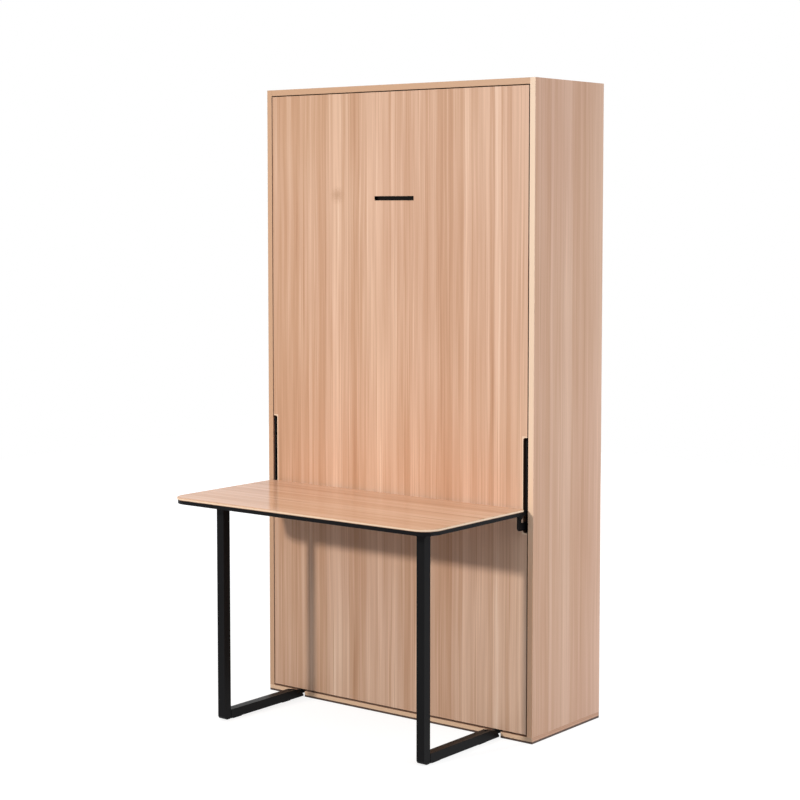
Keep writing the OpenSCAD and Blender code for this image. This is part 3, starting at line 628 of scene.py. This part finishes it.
# Painted shade on the rim in the reveal, painted light low down, painted highlight at the notches.
wood_panel = laminate("laminate, front panel", X, Z, rim_of(Y, 0.985), REVEAL_SHADE_TONE, 0.4,
                      marks=[swirl(-0.241, 1.739)], shades=[painted_low_light, notch_highlight])
wood_desk = laminate("laminate, desk top", Y, X, rim_of(Z, 0.4), CREAM_BAND_AND_HIGHLIGHT, 1.7,
                     depth=0.60, gloss=0.13, shine=0.03,
                     marks=[vein(front_y - out) for out in (0.115, 0.235, 0.335)])
# The dark line at the floor is a painted contact shadow.
wood_base = laminate("laminate, base board", Z, X, faces_along(FRONT), PALE_BAND, 8.8,
                     shades=[painted_shade_pink], lines=[contact_shadow_line])
print("laminates", 6)

# %% [markdown]
# The desk frame, the legs and the bed frame are black powder coat: a skin with a fine orange peel
# that breaks up the highlights. Bolts and plates are zinc plated, and the gas springs gloss black
# with a polished rod. A flat black would lose the edges, so each gets relief and a roughness that
# varies.

# %% Metals
def coated(name, dark, light, gloss, grain, depth, shine=0.08):
    """Painted metal: fine noise gives the peel, and broad noise a slight unevenness."""
    f = Finish(name, {"Specular IOR Level": shine})
    peel = f.noise(f.place, grain, 3.0)
    broad = f.noise(f.place, 9.0)
    return f.link(base_color=f.mix(peel * 0.5 + broad * 0.5, dark, light),
                  roughness=gloss + (broad - 0.5) * 0.12 + (peel - 0.5) * 0.10,
                  normal=f.bump(peel, depth))


def bare_metal(name, dark, light, gloss, grain, depth):
    """Plated metal: noise stretched along Z gives faint drawing lines, fine noise the plating."""
    f = Finish(name, {"Metallic": 1.0})
    x, y, z = (f.along(axis) for axis in (X, Y, Z))
    drawn_lines = f.noise(f.point(x * grain, y * grain, z * grain * 0.08), 1.0, 3.0)
    cloud = f.noise(f.place, 60.0)
    return f.link(base_color=f.mix(cloud, dark, light),
                  roughness=gloss + (drawn_lines - 0.5) * 0.16,
                  normal=f.bump(drawn_lines, depth))


black_steel = coated("black powder coat", (0.003, 0.003, 0.0034), (0.006, 0.006, 0.007),
                     gloss=0.40, grain=750.0, depth=0.00006)
pull_black = coated("satin black pull", (0.006, 0.005, 0.004), (0.012, 0.010, 0.009),
                    gloss=0.36, grain=900.0, depth=0.00003, shine=0.06)
spring_paint = coated("gloss black spring", (0.012, 0.012, 0.013), (0.020, 0.020, 0.021),
                      gloss=0.16, grain=500.0, depth=0.00001, shine=0.5)
zinc = bare_metal("zinc plate", (0.50, 0.51, 0.53), (0.66, 0.67, 0.68),
                  gloss=0.34, grain=900.0, depth=0.00002)
rod_chrome = bare_metal("polished rod", (0.72, 0.73, 0.74), (0.80, 0.81, 0.82),
                        gloss=0.10, grain=1500.0, depth=0.000004)
print("metals", 5)

# %% [markdown]
# These sit inside or underneath and show when the bed is down. Each has its own grain: rubber is
# matt and dusty, moulded slat holders have a fine spark-eroded texture, slats are bent beech
# under clear lacquer, stop blocks are plain pine, and the back is a thin fibre board with a pale
# foil on the inside. One material for all would save work, but would look like paint.

# %% Rubber, plastic, solid wood and fibre board
def moulded(name, dark, light, gloss, grain, depth):
    """Rubber, plastic or plain cloth: fine noise as its texture, and dust in the broad one."""
    f = Finish(name, {"Specular IOR Level": 0.35})
    texture = f.noise(f.place, grain, 4.0)
    dust = f.noise(f.place, 25.0)
    return f.link(base_color=f.mix(dust, dark, light),
                  roughness=gloss + (texture - 0.5) * 0.12,
                  normal=f.bump(texture, depth))


def plain_wood(name, tones, gloss):
    """Solid wood that grows along X: bands from bent noise across the grain, pores along it."""
    f = Finish(name, {"Specular IOR Level": 0.4})
    u, v = f.along(Z), f.along(X)
    bend = f.noise(f.point(u * 3, v * 1.2))
    band = f.noise(f.point(u * 90 + bend * 8, v * 1.5))
    pore = f.noise(f.point(u * 700, v * 30))
    wood = f.node("ShaderNodeValToRGB", {0: band}, stops=tones)
    wood = f.mix(pore.rise(0.55, 0.8) * 0.25, wood, tint(150, 112, 78))
    return f.link(base_color=wood, roughness=gloss + (pore - 0.5) * 0.12,
                  normal=f.bump(pore, 0.00008))


def fibre_board(name):
    """Hardboard: brown speckle of short fibres behind, pale foil on the face that looks inside."""
    f = Finish(name, {"Specular IOR Level": 0.3})
    x, z = f.along(X), f.along(Z)
    short = f.noise(f.point(x * 160, 0.0, z * 160), 1.0, 5.0)
    cloud = f.noise(f.place, 3.0)
    brown = f.mix(short * 0.6 + cloud * 0.4, tint(138, 101, 70), tint(186, 148, 110))
    streak = f.noise(f.point(x * 120, 2.0, z * 1.4), 1.0, 3.0)
    foil = f.mix(streak, tint(226, 205, 184), tint(240, 226, 210))
    inside = f.along(FRONT, f.facing) > 0.5
    return f.link(base_color=f.mix(inside, brown, foil),
                  roughness=0.55 + (short - 0.5) * 0.2 + inside * -0.12,
                  normal=f.bump(short, 0.00010))


BEECH = [(0.25, tint(214, 178, 136)), (0.5, tint(228, 196, 156)), (0.78, tint(238, 212, 176))]
PINE = [(0.25, tint(198, 158, 114)), (0.55, tint(222, 186, 142)), (0.8, tint(232, 200, 158))]
rubber = moulded("black rubber", (0.012, 0.012, 0.012), (0.030, 0.029, 0.028),
                 gloss=0.72, grain=420.0, depth=0.00010)
cap_plastic = moulded("moulded holder", (0.014, 0.014, 0.015), (0.026, 0.026, 0.027),
                      gloss=0.48, grain=1100.0, depth=0.00006)
slat_wood = plain_wood("lacquered slat", BEECH, gloss=0.30)
block_wood = plain_wood("plain block", PINE, gloss=0.55)
back_board = fibre_board("back board")
print("other finishes", 5)

# %% [markdown]
# A node whose shape is right keeps it and only changes its finish. Each could be named here, but
# the slot's name already says what the real piece is made of, so it picks the finish. Two boards
# are exceptions: the top board's grain lies along the cabinet's width, and the left board was
# cut from another place of the sheet.

# %% Finishes by slot
BY_SLOT = {"cabinet_wood": wood_side, "panel_wood": wood_panel, "base_wood": wood_base,
           "back_board": back_board, "desk_wood": wood_desk, "block_wood": block_wood,
           "slat_wood": slat_wood, "black_steel": black_steel, "pull_steel": pull_black,
           "zinc": zinc, "spring_paint": spring_paint, "rod_chrome": rod_chrome,
           "rubber": rubber, "cap_plastic": cap_plastic}
OWN_FINISH = {"top_panel": wood_top, "side_panel_left": wood_left}


def finish_of(node):
    """The node's own finish, or its slot's; None for the soft nodes, which are replaced."""
    return OWN_FINISH.get(node) or BY_SLOT.get(slot_of[node])


def coat(piece, material):
    """Gives a piece its one finish."""
    if piece.material_slots:
        piece.material_slots[0].material = material
    else:
        piece.data.materials.append(material)


dressed = [node for node in frame["nodes"] if finish_of(node)]
for node in dressed:
    coat(frame["nodes"][node], finish_of(node))
print("dressed", len(dressed), "nodes")

# %% [markdown]
# No real edge is a razor: laminate edges are broken by about a millimetre, and steel tubes have
# round corners. Those small curves catch the light, which draws the thin bright lines along the
# legs and the desk. A shader can fake them, but the outline would stay sharp. The CAD mesh is
# loose triangles, so a copy is joined, its flat triangles are merged into whole faces, and a
# Bevel rounds the corners.

# %% Copies with rounded edges
BOARD_EDGE = 0.0008
DESK_EDGE = 0.0034
TUBE_EDGE = 0.0009
BAR_EDGE = 0.0006
SAME_POINT = 1e-6
FLAT = math.radians(0.5)
SHARP = math.radians(35)


def softened(node, width):
    """A copy of a node with its corners rounded by width; it rides and is finished as the node."""
    work = bmesh.new()
    work.from_mesh(frame["nodes"][node].data)
    bmesh.ops.remove_doubles(work, verts=work.verts, dist=SAME_POINT)
    bmesh.ops.dissolve_limit(work, angle_limit=FLAT, verts=work.verts, edges=work.edges)
    for face in work.faces:
        face.smooth = True
    for edge in work.edges:
        edge.smooth = edge.calc_face_angle(0.0) < SHARP
    mesh = bpy.data.meshes.new(node + "_soft")
    work.to_mesh(mesh)
    work.free()
    piece = bpy.data.objects.new(node + "_soft", mesh)
    scene.collection.objects.link(piece)
    bevel = piece.modifiers.new("rounding", "BEVEL")
    bevel.width, bevel.segments = width, 2
    bevel.limit_method, bevel.angle_limit = "ANGLE", SHARP
    bevel.harden_normals = True
    coat(piece, finish_of(node))
    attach(piece, body_of[node])
    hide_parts(node)


ROUNDED = {"side_panel_left": BOARD_EDGE, "side_panel_right": BOARD_EDGE, "top_panel": BOARD_EDGE,
           "base_panel": BOARD_EDGE, "front_panel": BOARD_EDGE, "desk_top": DESK_EDGE,
           "leg_left": TUBE_EDGE, "leg_right": TUBE_EDGE, "floor_bar_left": TUBE_EDGE,
           "floor_bar_right": TUBE_EDGE, "desk_arm_left": BAR_EDGE, "desk_arm_right": BAR_EDGE,
           "desk_front_rail": BAR_EDGE, "desk_rear_rail": BAR_EDGE,
           "leg_bracket_left": BAR_EDGE, "leg_bracket_right": BAR_EDGE}
for node, width in ROUNDED.items():
    softened(node, width)
print("rounded", len(ROUNDED), "pieces")

# %% [markdown]
# The soft pieces are the mattress, its piping and its straps. They could be modelled by hand, but
# worked out as whole arrays each size stays a named number. A panel is a grid of points, a
# function of two numbers, and a tube or a band is a small outline carried along a path. These
# helpers turn such arrays into quads and into a mesh.

# %% From arrays to a piece
def made_of(name, points, quads, node, material, uv=None):
    """Puts points and quads into a mesh; the piece rides as its node and gets the given finish."""
    mesh = bpy.data.meshes.new(name)
    mesh.from_pydata(np.round(points, 7).tolist(), [], quads.tolist())
    mesh.polygons.foreach_set("use_smooth", np.ones(len(quads), dtype=bool))
    if uv is not None:
        used = np.empty(len(mesh.loops), dtype=np.int32)
        mesh.loops.foreach_get("vertex_index", used)
        mesh.uv_layers.new(name="weave").data.foreach_set("uv", uv[used].ravel())
    mesh.update()
    piece = bpy.data.objects.new(name, mesh)
    scene.collection.objects.link(piece)
    coat(piece, material)
    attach(piece, body_of[node])
    return piece


def strips(rings):
    """Quads between neighbouring rows of an index array whose columns close into rings."""
    ahead = np.roll(rings, -1, axis=1)
    return np.stack([rings[:-1], rings[1:], ahead[1:], ahead[:-1]], axis=-1).reshape(-1, 4)


def between(grid):
    """Quads between neighbouring rows and columns of an index array."""
    return np.stack([grid[:-1, :-1], grid[1:, :-1], grid[1:, 1:], grid[:-1, 1:]],
                    axis=-1).reshape(-1, 4)


print("array helpers are ready")

# %% [markdown]
# The mattress is a foam block in a quilted cover: two panels with round corners, joined by a
# border. A sewn cover draws in at the middle of each long side and crowns where people lie. A
# cloth simulation is the usual way to fill a cushion, but a foam block hardly swells, so its form
# is written down. First comes its plan: a grid of lanes, moved into an outline with round corners.

# %% Plan of the mattress
low, high = box("mattress")
HALF_X, HALF_Z = (high[0] - low[0]) / 2, (high[2] - low[2]) / 2
MIDDLE = (low + high) / 2
CORNER = 0.060
EDGE = 0.030
CELL = 0.008
DRAWN_IN = 0.004


def lanes(half, steps=6):
    """Grid lines from -half to half: even in the middle, and at EDGE * (1 - cos t) from the rim
    for t from 0 to 90 degrees, so that they follow the quarter round."""
    t = np.linspace(0, math.pi / 2, steps, endpoint=False)
    rim = half - EDGE * (1 - np.cos(t))
    count = round(2 * (half - EDGE) / CELL)
    return np.concatenate([-rim, np.linspace(EDGE - half, half - EDGE, count + 1), rim[::-1]])


def rounded(s, t):
    """Moves a rectangle's grid into one with round corners. In a corner square p and q run from
    0 to 1 and go to p * sqrt(1 - q*q / 2) and q * sqrt(1 - p*p / 2), which fills a quarter disc."""
    p = np.clip((abs(s) - HALF_X + CORNER) / CORNER, 0, 1)
    q = np.clip((abs(t) - HALF_Z + CORNER) / CORNER, 0, 1)
    x = np.sign(s) * (np.minimum(abs(s), HALF_X - CORNER) + CORNER * p * np.sqrt(1 - q * q / 2))
    z = np.sign(t) * (np.minimum(abs(t), HALF_Z - CORNER) + CORNER * q * np.sqrt(1 - p * p / 2))
    return x, z


def drawn(x, z):
    """The width with the long sides drawn in, most at mid length: x less a parabola along z."""
    return x * (1 - DRAWN_IN / HALF_X * (1 - (z / HALF_Z) ** 2))


x_grid, z_grid = rounded(*np.meshgrid(lanes(HALF_X), lanes(HALF_Z)))
print("mattress plan", x_grid.shape, "points, half size", round(HALF_X, 3), round(HALF_Z, 3))

# %% [markdown]
# Then comes its height. The edge is a quarter round, the lying side has a crown of a few
# millimetres, and its diagonal seams cross into diamonds with a pillow in each. The seams could
# be bump only, but they are deep enough to show in the outline, so they are geometry.

# %% Height of the two panels
CROWN = 0.008
THICK = high[1] - low[1] - CROWN
MID_Y = low[1] + THICK / 2
QUILT = 0.128
QUILT_DEPTH = 0.0055
PUFF = 0.4
QUILT_FROM, QUILT_FADE = 0.040, 0.014
FRAME_SEAM, FRAME_WIDTH, FRAME_DEPTH = 0.042, 0.005, 0.0035


def from_rim(x, z):
    """Distance inwards from the outline, up to CORNER: CORNER less the distance to the inner
    rectangle that the corners' centres lie on."""
    return CORNER - np.hypot(np.maximum(abs(x) - HALF_X + CORNER, 0),
                             np.maximum(abs(z) - HALF_Z + CORNER, 0))


def panel_height(x, z, quilted):
    """Height over the mid plane: half the thickness, less a quarter round at the edge. On the
    lying side comes the crown, less seams where the sine of either diagonal is 0, and less one
    seam that runs round inside the rim."""
    inward = from_rim(x, z)
    short = np.clip(EDGE - inward, 0, EDGE)
    height = THICK / 2 - EDGE + np.sqrt(EDGE ** 2 - short ** 2)
    if not quilted:
        return height
    diagonals = np.sin(np.pi * (x + z) / QUILT) * np.sin(np.pi * (x - z) / QUILT)
    fade = np.clip((inward - QUILT_FROM) / QUILT_FADE, 0, 1)
    seams = QUILT_DEPTH * (1 - abs(diagonals) ** PUFF) * fade
    frame_seam = FRAME_DEPTH * np.exp(-((inward - FRAME_SEAM) / FRAME_WIDTH) ** 2)
    crown = CROWN * (1 - (x / HALF_X) ** 2) * (1 - (z / HALF_Z) ** 2)
    return height + crown - np.maximum(seams, frame_seam)


def panel(side, quilted):
    """One panel as a grid of points: drawn(x, z), the mid plane plus or minus the height, z."""
    height = MID_Y + side * panel_height(x_grid, z_grid, quilted)
    return np.stack([drawn(x_grid, z_grid), height, z_grid + MIDDLE[2]], -1)


upper, lower = panel(1, True), panel(-1, False)
print("mattress thickness", round(float(THICK), 4), "and crown", CROWN)

# %% [markdown]
# The border joins the rims of the two panels. On the real cover two sewn lines divide it into
# three soft rolls. It could be a piece of its own, but as a stack of rings on the same rims it
# closes the mattress into one surface without a gap.

# %% Border and mesh of the mattress
ROWS = 15
ROLLS = 3
ROLL = 0.0034
ROLL_PUFF = 0.6

number = np.arange(x_grid.size).reshape(x_grid.shape)
rim = np.concatenate([number[0, :-1], number[:-1, -1], number[-1, :0:-1], number[:0:-1, 0]])


def outward(points):
    """Level direction away from the mattress: the way from the nearest point of the rectangle
    that the corners' centres lie on, with length 1."""
    away = points - MIDDLE
    for axis, inner in ((0, HALF_X - CORNER - DRAWN_IN), (2, HALF_Z - CORNER)):
        away[:, axis] -= np.sign(away[:, axis]) * np.minimum(abs(away[:, axis]), inner)
    away[:, 1] = 0
    return away / np.linalg.norm(away, axis=1)[:, None]


def border(top, bottom):
    """Rings from one rim to the other: a straight way between them, moved outwards by ROLL times
    |sin(ROLLS * pi * share)| to the power ROLL_PUFF."""
    share = np.linspace(0, 1, ROWS + 2)[1:-1, None, None]
    roll = ROLL * abs(np.sin(ROLLS * np.pi * share)) ** ROLL_PUFF
    return top * (1 - share) + bottom * share + outward(top) * roll


rolls = border(upper.reshape(-1, 3)[rim], lower.reshape(-1, 3)[rim])
points = np.vstack([upper.reshape(-1, 3), lower.reshape(-1, 3), rolls.reshape(-1, 3)])
rings = np.vstack([rim, 2 * number.size + np.arange(ROWS * len(rim)).reshape(ROWS, -1),
                   rim + number.size])
quads = np.vstack([between(number), between(number + number.size)[:, ::-1],
                   strips(rings)[:, ::-1]])
print("mattress", len(points), "points", len(quads), "quads")

# %% [markdown]
# The cover is a white knit on the lying side and a grey ribbed band round the border. A knit is
# rows of small loops. They are too many for geometry, so two crossed waves, a millimetre and a
# half apart, lift the surface where both are high. Dashes of thread lie along the quilt's seams.
# Cloth gives the light back softly, so it is rough, with a little sheen.

# %% Ticking
LOOP = 0.0016
RIB = 0.0034
STITCH = 0.0045
THREAD_HALF = 0.0011


def ticking(name):
    """Knit on the panels, ribs on the border, and stitches where the quilt's seams run."""
    f = Finish(name, {"Specular IOR Level": 0.2, "Sheen Weight": 0.25, "Sheen Roughness": 0.5})
    x, y, z = (f.along(axis) for axis in (X, Y, Z))
    on_panel = abs(f.along(Y, f.facing)) > 0.45
    melange = f.noise(f.point(x * 260, y * 260, z * 40), 1.0, 3.0)
    cloud = f.noise(f.place, 7.0)
    knit = x.wave(LOOP) * (z + x.wave(LOOP) * 0.0003).wave(LOOP * 1.3)
    rib = (x + z).wave(RIB)

    def seam(way):
        return (THREAD_HALF - way.fold(QUILT)).rise(0.0, 0.0005)

    from_middle = z - float(MIDDLE[2])
    dash = x.wave(STITCH).rise(-0.3, 0.0)
    thread = (seam(x + from_middle) | seam(x - from_middle)) * dash * on_panel
    white = f.mix(melange * 0.6 + cloud * 0.4, tint(222, 219, 213), tint(243, 241, 236))
    grey = f.mix(melange, tint(150, 149, 148), tint(186, 185, 183))
    colour = f.mix(thread * 0.7, f.mix(on_panel, grey, white), tint(206, 203, 198))
    lift = f.mix(on_panel, f.point(rib * 0.6 + melange), f.point(knit + melange * 0.6))
    relief = f.node("ShaderNodeSeparateXYZ", {0: lift})
    return f.link(base_color=colour, roughness=0.82 + (melange - 0.5) * 0.15,
                  normal=f.bump(relief + thread * 1.5, 0.00022))


mattress = made_of("mattress_soft", points, quads, "mattress", ticking("quilted ticking"))
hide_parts("mattress")
print("mattress rides on", body_of["mattress"])

# %% [markdown]
# A sewn mattress has a cord of cloth in the seam where a panel meets the border. It follows the
# outline, a little below the middle of the quarter round. A curve with a bevel would give the
# same tube, but a ring carried along the path is only one line more, and its points are exact.

# %% Piping
PIPE_R = 0.0042
PIPE_ANGLE = math.radians(42)
PIPE_OUT, PIPE_UP = 0.0012, 0.0006


def outline(inset, arc_steps=10, side_steps=24):
    """Closed outline of the panel, drawn in by inset: four quarter arcs joined by straight sides,
    one array of x and one of z, without repeated points."""
    t = np.linspace(0, math.pi / 2, arc_steps + 1)
    reach = CORNER - inset
    arcs = [np.stack([sx * (HALF_X - CORNER) + reach * np.cos(t + turn * math.pi / 2),
                      sz * (HALF_Z - CORNER) + reach * np.sin(t + turn * math.pi / 2)], 1)
            for turn, (sx, sz) in enumerate([(1, 1), (-1, 1), (-1, -1), (1, -1)])]
    way = np.linspace(0, 1, side_steps + 1)[1:-1, None]
    joined = []
    for here, there in zip(arcs, arcs[1:] + arcs[:1]):
        joined += [here, here[-1] * (1 - way) + there[0] * way]
    return np.vstack(joined).T


def tube(path, radius, sides=10):
    """Round tube on a closed level path: each ring is path + radius * (cos * outwards + sin * up),
    where outwards is the path's direction turned by a right angle."""
    ahead = np.roll(path, -1, axis=0) - np.roll(path, 1, axis=0)
    outwards = np.stack([ahead[:, 2], np.zeros(len(path)), -ahead[:, 0]], 1)
    outwards /= np.linalg.norm(outwards, axis=1)[:, None]
    t = np.linspace(0, math.tau, sides, endpoint=False)[:, None, None]
    rings = path + radius * (np.cos(t) * outwards + np.sin(t) * np.array(Y, dtype=float))
    index = np.arange(sides * len(path)).reshape(sides, -1)
    return rings.reshape(-1, 3), strips(np.vstack([index, index[:1]]))


pipe_x, pipe_z = outline(EDGE * (1 - math.cos(PIPE_ANGLE)) - PIPE_OUT)
pipe_level = THICK / 2 - EDGE * (1 - math.sin(PIPE_ANGLE)) + PIPE_UP
piping = moulded("piping cloth", tint(128, 127, 126), tint(156, 155, 153),
                 gloss=0.8, grain=1400.0, depth=0.00012)
for name, level in (("piping_upper", MID_Y + pipe_level), ("piping_lower", MID_Y - pipe_level)):
    path = np.stack([drawn(pipe_x, pipe_z), np.full_like(pipe_x, level), pipe_z + MIDDLE[2]], 1)
    made_of(name, *tube(path, PIPE_R), "mattress", piping)
print("piping", len(path), "points round")

# %% [markdown]
# Two bands of webbing hold the mattress when the bed stands up. Webbing is a flat weave: ridges
# along it, crossed by the weft, and near both ends a sewn box with a cross of pale thread. A
# pattern on object coordinates would not turn with the band at the corners, so it reads the
# band's own map, in metres along and across.

# %% Webbing
RIDGE = 0.0050
WEFT = 0.0015
SEW_MIDDLE, SEW_HALF = 0.022, 0.012
SEW_LINE = 0.0008
SEW_STITCH = 0.0030


def webbing(name, length):
    """Woven band of a length: black, slightly fuzzy, with white dashes where it is sewn."""
    f = Finish(name, {"Specular IOR Level": 0.3, "Sheen Weight": 0.15})
    on_band = f.node("ShaderNodeTexCoord", output="UV")
    u, v = f.along(X, on_band), f.along(Y, on_band)
    ridge = abs(v.wave(RIDGE))
    weft = (u + ridge * 0.0004).wave(WEFT)
    fuzz = f.noise(f.point(u * 900, v * 900), 1.0, 3.0)
    from_sewing = u.fold(length / 2) - SEW_MIDDLE
    cross = ((abs(from_sewing - v * 0.8) < SEW_LINE) | (abs(from_sewing + v * 0.8) < SEW_LINE)
             | (abs(abs(from_sewing) - (SEW_HALF - 0.001)) < 0.0009))
    sewn = cross * (abs(from_sewing) < SEW_HALF) * (abs(v) < 0.015)
    dashes = sewn * (u + v * 0.5).wave(SEW_STITCH).rise(-0.4, 0.0)
    colour = f.mix(fuzz * 0.6 + ridge * 0.3, (0.020, 0.020, 0.022), (0.058, 0.058, 0.062))
    colour = f.mix(dashes, colour, tint(176, 174, 170))
    return f.link(base_color=colour, roughness=0.72 + (fuzz - 0.5) * 0.2,
                  normal=f.bump(ridge * 0.5 + weft * 0.35 + dashes + fuzz * 0.3, 0.00028))


print("webbing is ready")

# %% [markdown]
# A strap runs from a steel eye up the mattress's side, over the lying side and down to the other
# eye. It is stretched, so it needs no simulation: half of its path is written down and mirrored,
# and a flat outline with soft edges is carried along it.

# %% Path of a strap
STRAP_T = 0.002
STRAP_HALF = 0.020
STRAP_OFF = 0.0009
OVER_PIPE = 0.0056
strap_low, strap_high = box("mattress_straps")
ANCHOR = np.array([strap_high[0] - STRAP_T, strap_low[1]])


def strap_path(z):
    """Half the path over the mattress at height z, from the middle to the eye: level with the
    pillows, lifted over the piping at the edge, round the corner on a circle, then straight."""
    half = float(drawn(HALF_X, z - MIDDLE[2]))
    x = np.linspace(0, half - EDGE, 40)
    crown = CROWN * (1 - (x / HALF_X) ** 2) * (1 - ((z - MIDDLE[2]) / HALF_Z) ** 2)
    lift = STRAP_OFF + (OVER_PIPE - STRAP_OFF) * (x / x[-1]) ** 8
    flat = np.stack([x, MID_Y + THICK / 2 + crown + lift], 1)
    t = np.linspace(math.pi / 2, 0, 10)[1:]
    turn = EDGE + OVER_PIPE
    bend = flat[-1] - [0, turn] + turn * np.stack([np.cos(t), np.sin(t)], 1)
    way = np.linspace(0, 1, 12)[1:, None]
    return np.vstack([flat, bend, bend[-1] * (1 - way) + ANCHOR * way])


def whole(half):
    """The half path and its mirror image, from the right eye to the left one."""
    return np.vstack([half[:0:-1] * [-1, 1], half])[::-1]


print("strap eyes at x", round(float(ANCHOR[0]), 3), "y", round(float(ANCHOR[1]), 3))

# %% [markdown]
# The band's outline has fourteen points: flat faces, and edges that are thinner than the middle,
# as woven edges are. Its two ends are closed with the same points, so it is one closed surface.

# %% Band and the two straps
WIDTH = np.array([-1, -0.97, -0.5, 0, 0.5, 0.97, 1, 1, 0.97, 0.5, 0, -0.5, -0.97, -1])
HEIGHT = np.array([0.3, 0, 0, 0, 0, 0, 0.3, 0.7, 1, 1, 1, 1, 1, 0.7])
CAP = np.array([(0, 1, 2, 13)] + [(k, k + 1, 14 - k, 15 - k) for k in range(2, 7)])


def band(path, z):
    """The outline carried along a path in the x-y plane: each point is path + n * height + z *
    width, where n is the path's direction turned outwards. Gives the points, the quads, the map
    in metres along and across, and the path's length."""
    ahead = np.gradient(path, axis=0)
    n = np.stack([-ahead[:, 1], ahead[:, 0]], 1)
    n /= np.linalg.norm(n, axis=1)[:, None]
    flat = path[:, None] + n[:, None] * (HEIGHT * STRAP_T)[None, :, None]
    depth = np.broadcast_to(z + STRAP_HALF * WIDTH, flat.shape[:2])
    points = np.stack([flat[..., 0], flat[..., 1], depth], -1).reshape(-1, 3)
    steps = np.linalg.norm(np.diff(path, axis=0), axis=1)
    run = np.concatenate([[0], np.cumsum(steps)])
    uv = np.stack([np.repeat(run, len(WIDTH)), np.tile(STRAP_HALF * WIDTH, len(path))], 1)
    index = np.arange(len(points)).reshape(len(path), -1)
    quads = np.vstack([strips(index), CAP[:, ::-1], CAP + index[-1, 0]])
    return points, quads, uv, float(run[-1])


for name, z in (("strap_foot", float(strap_low[2]) + STRAP_HALF),
                ("strap_head", float(strap_high[2]) - STRAP_HALF)):
    points, quads, uv, length = band(whole(strap_path(z)), z)
    strap = made_of(name, points, quads, "mattress_straps", webbing(name + " webbing", length), uv)
    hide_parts("mattress_straps")
    print(name, "length", round(length, 3))

# %% [markdown]
# The dressed object has to be as large as the real one, so it has to stay inside the CAD model's
# box. The view transform could make the picture softer, but Standard shows each colour as it was
# written, so the render can be held against the photograph.

# %% View transform and the end
scene.view_settings.view_transform = "Standard"
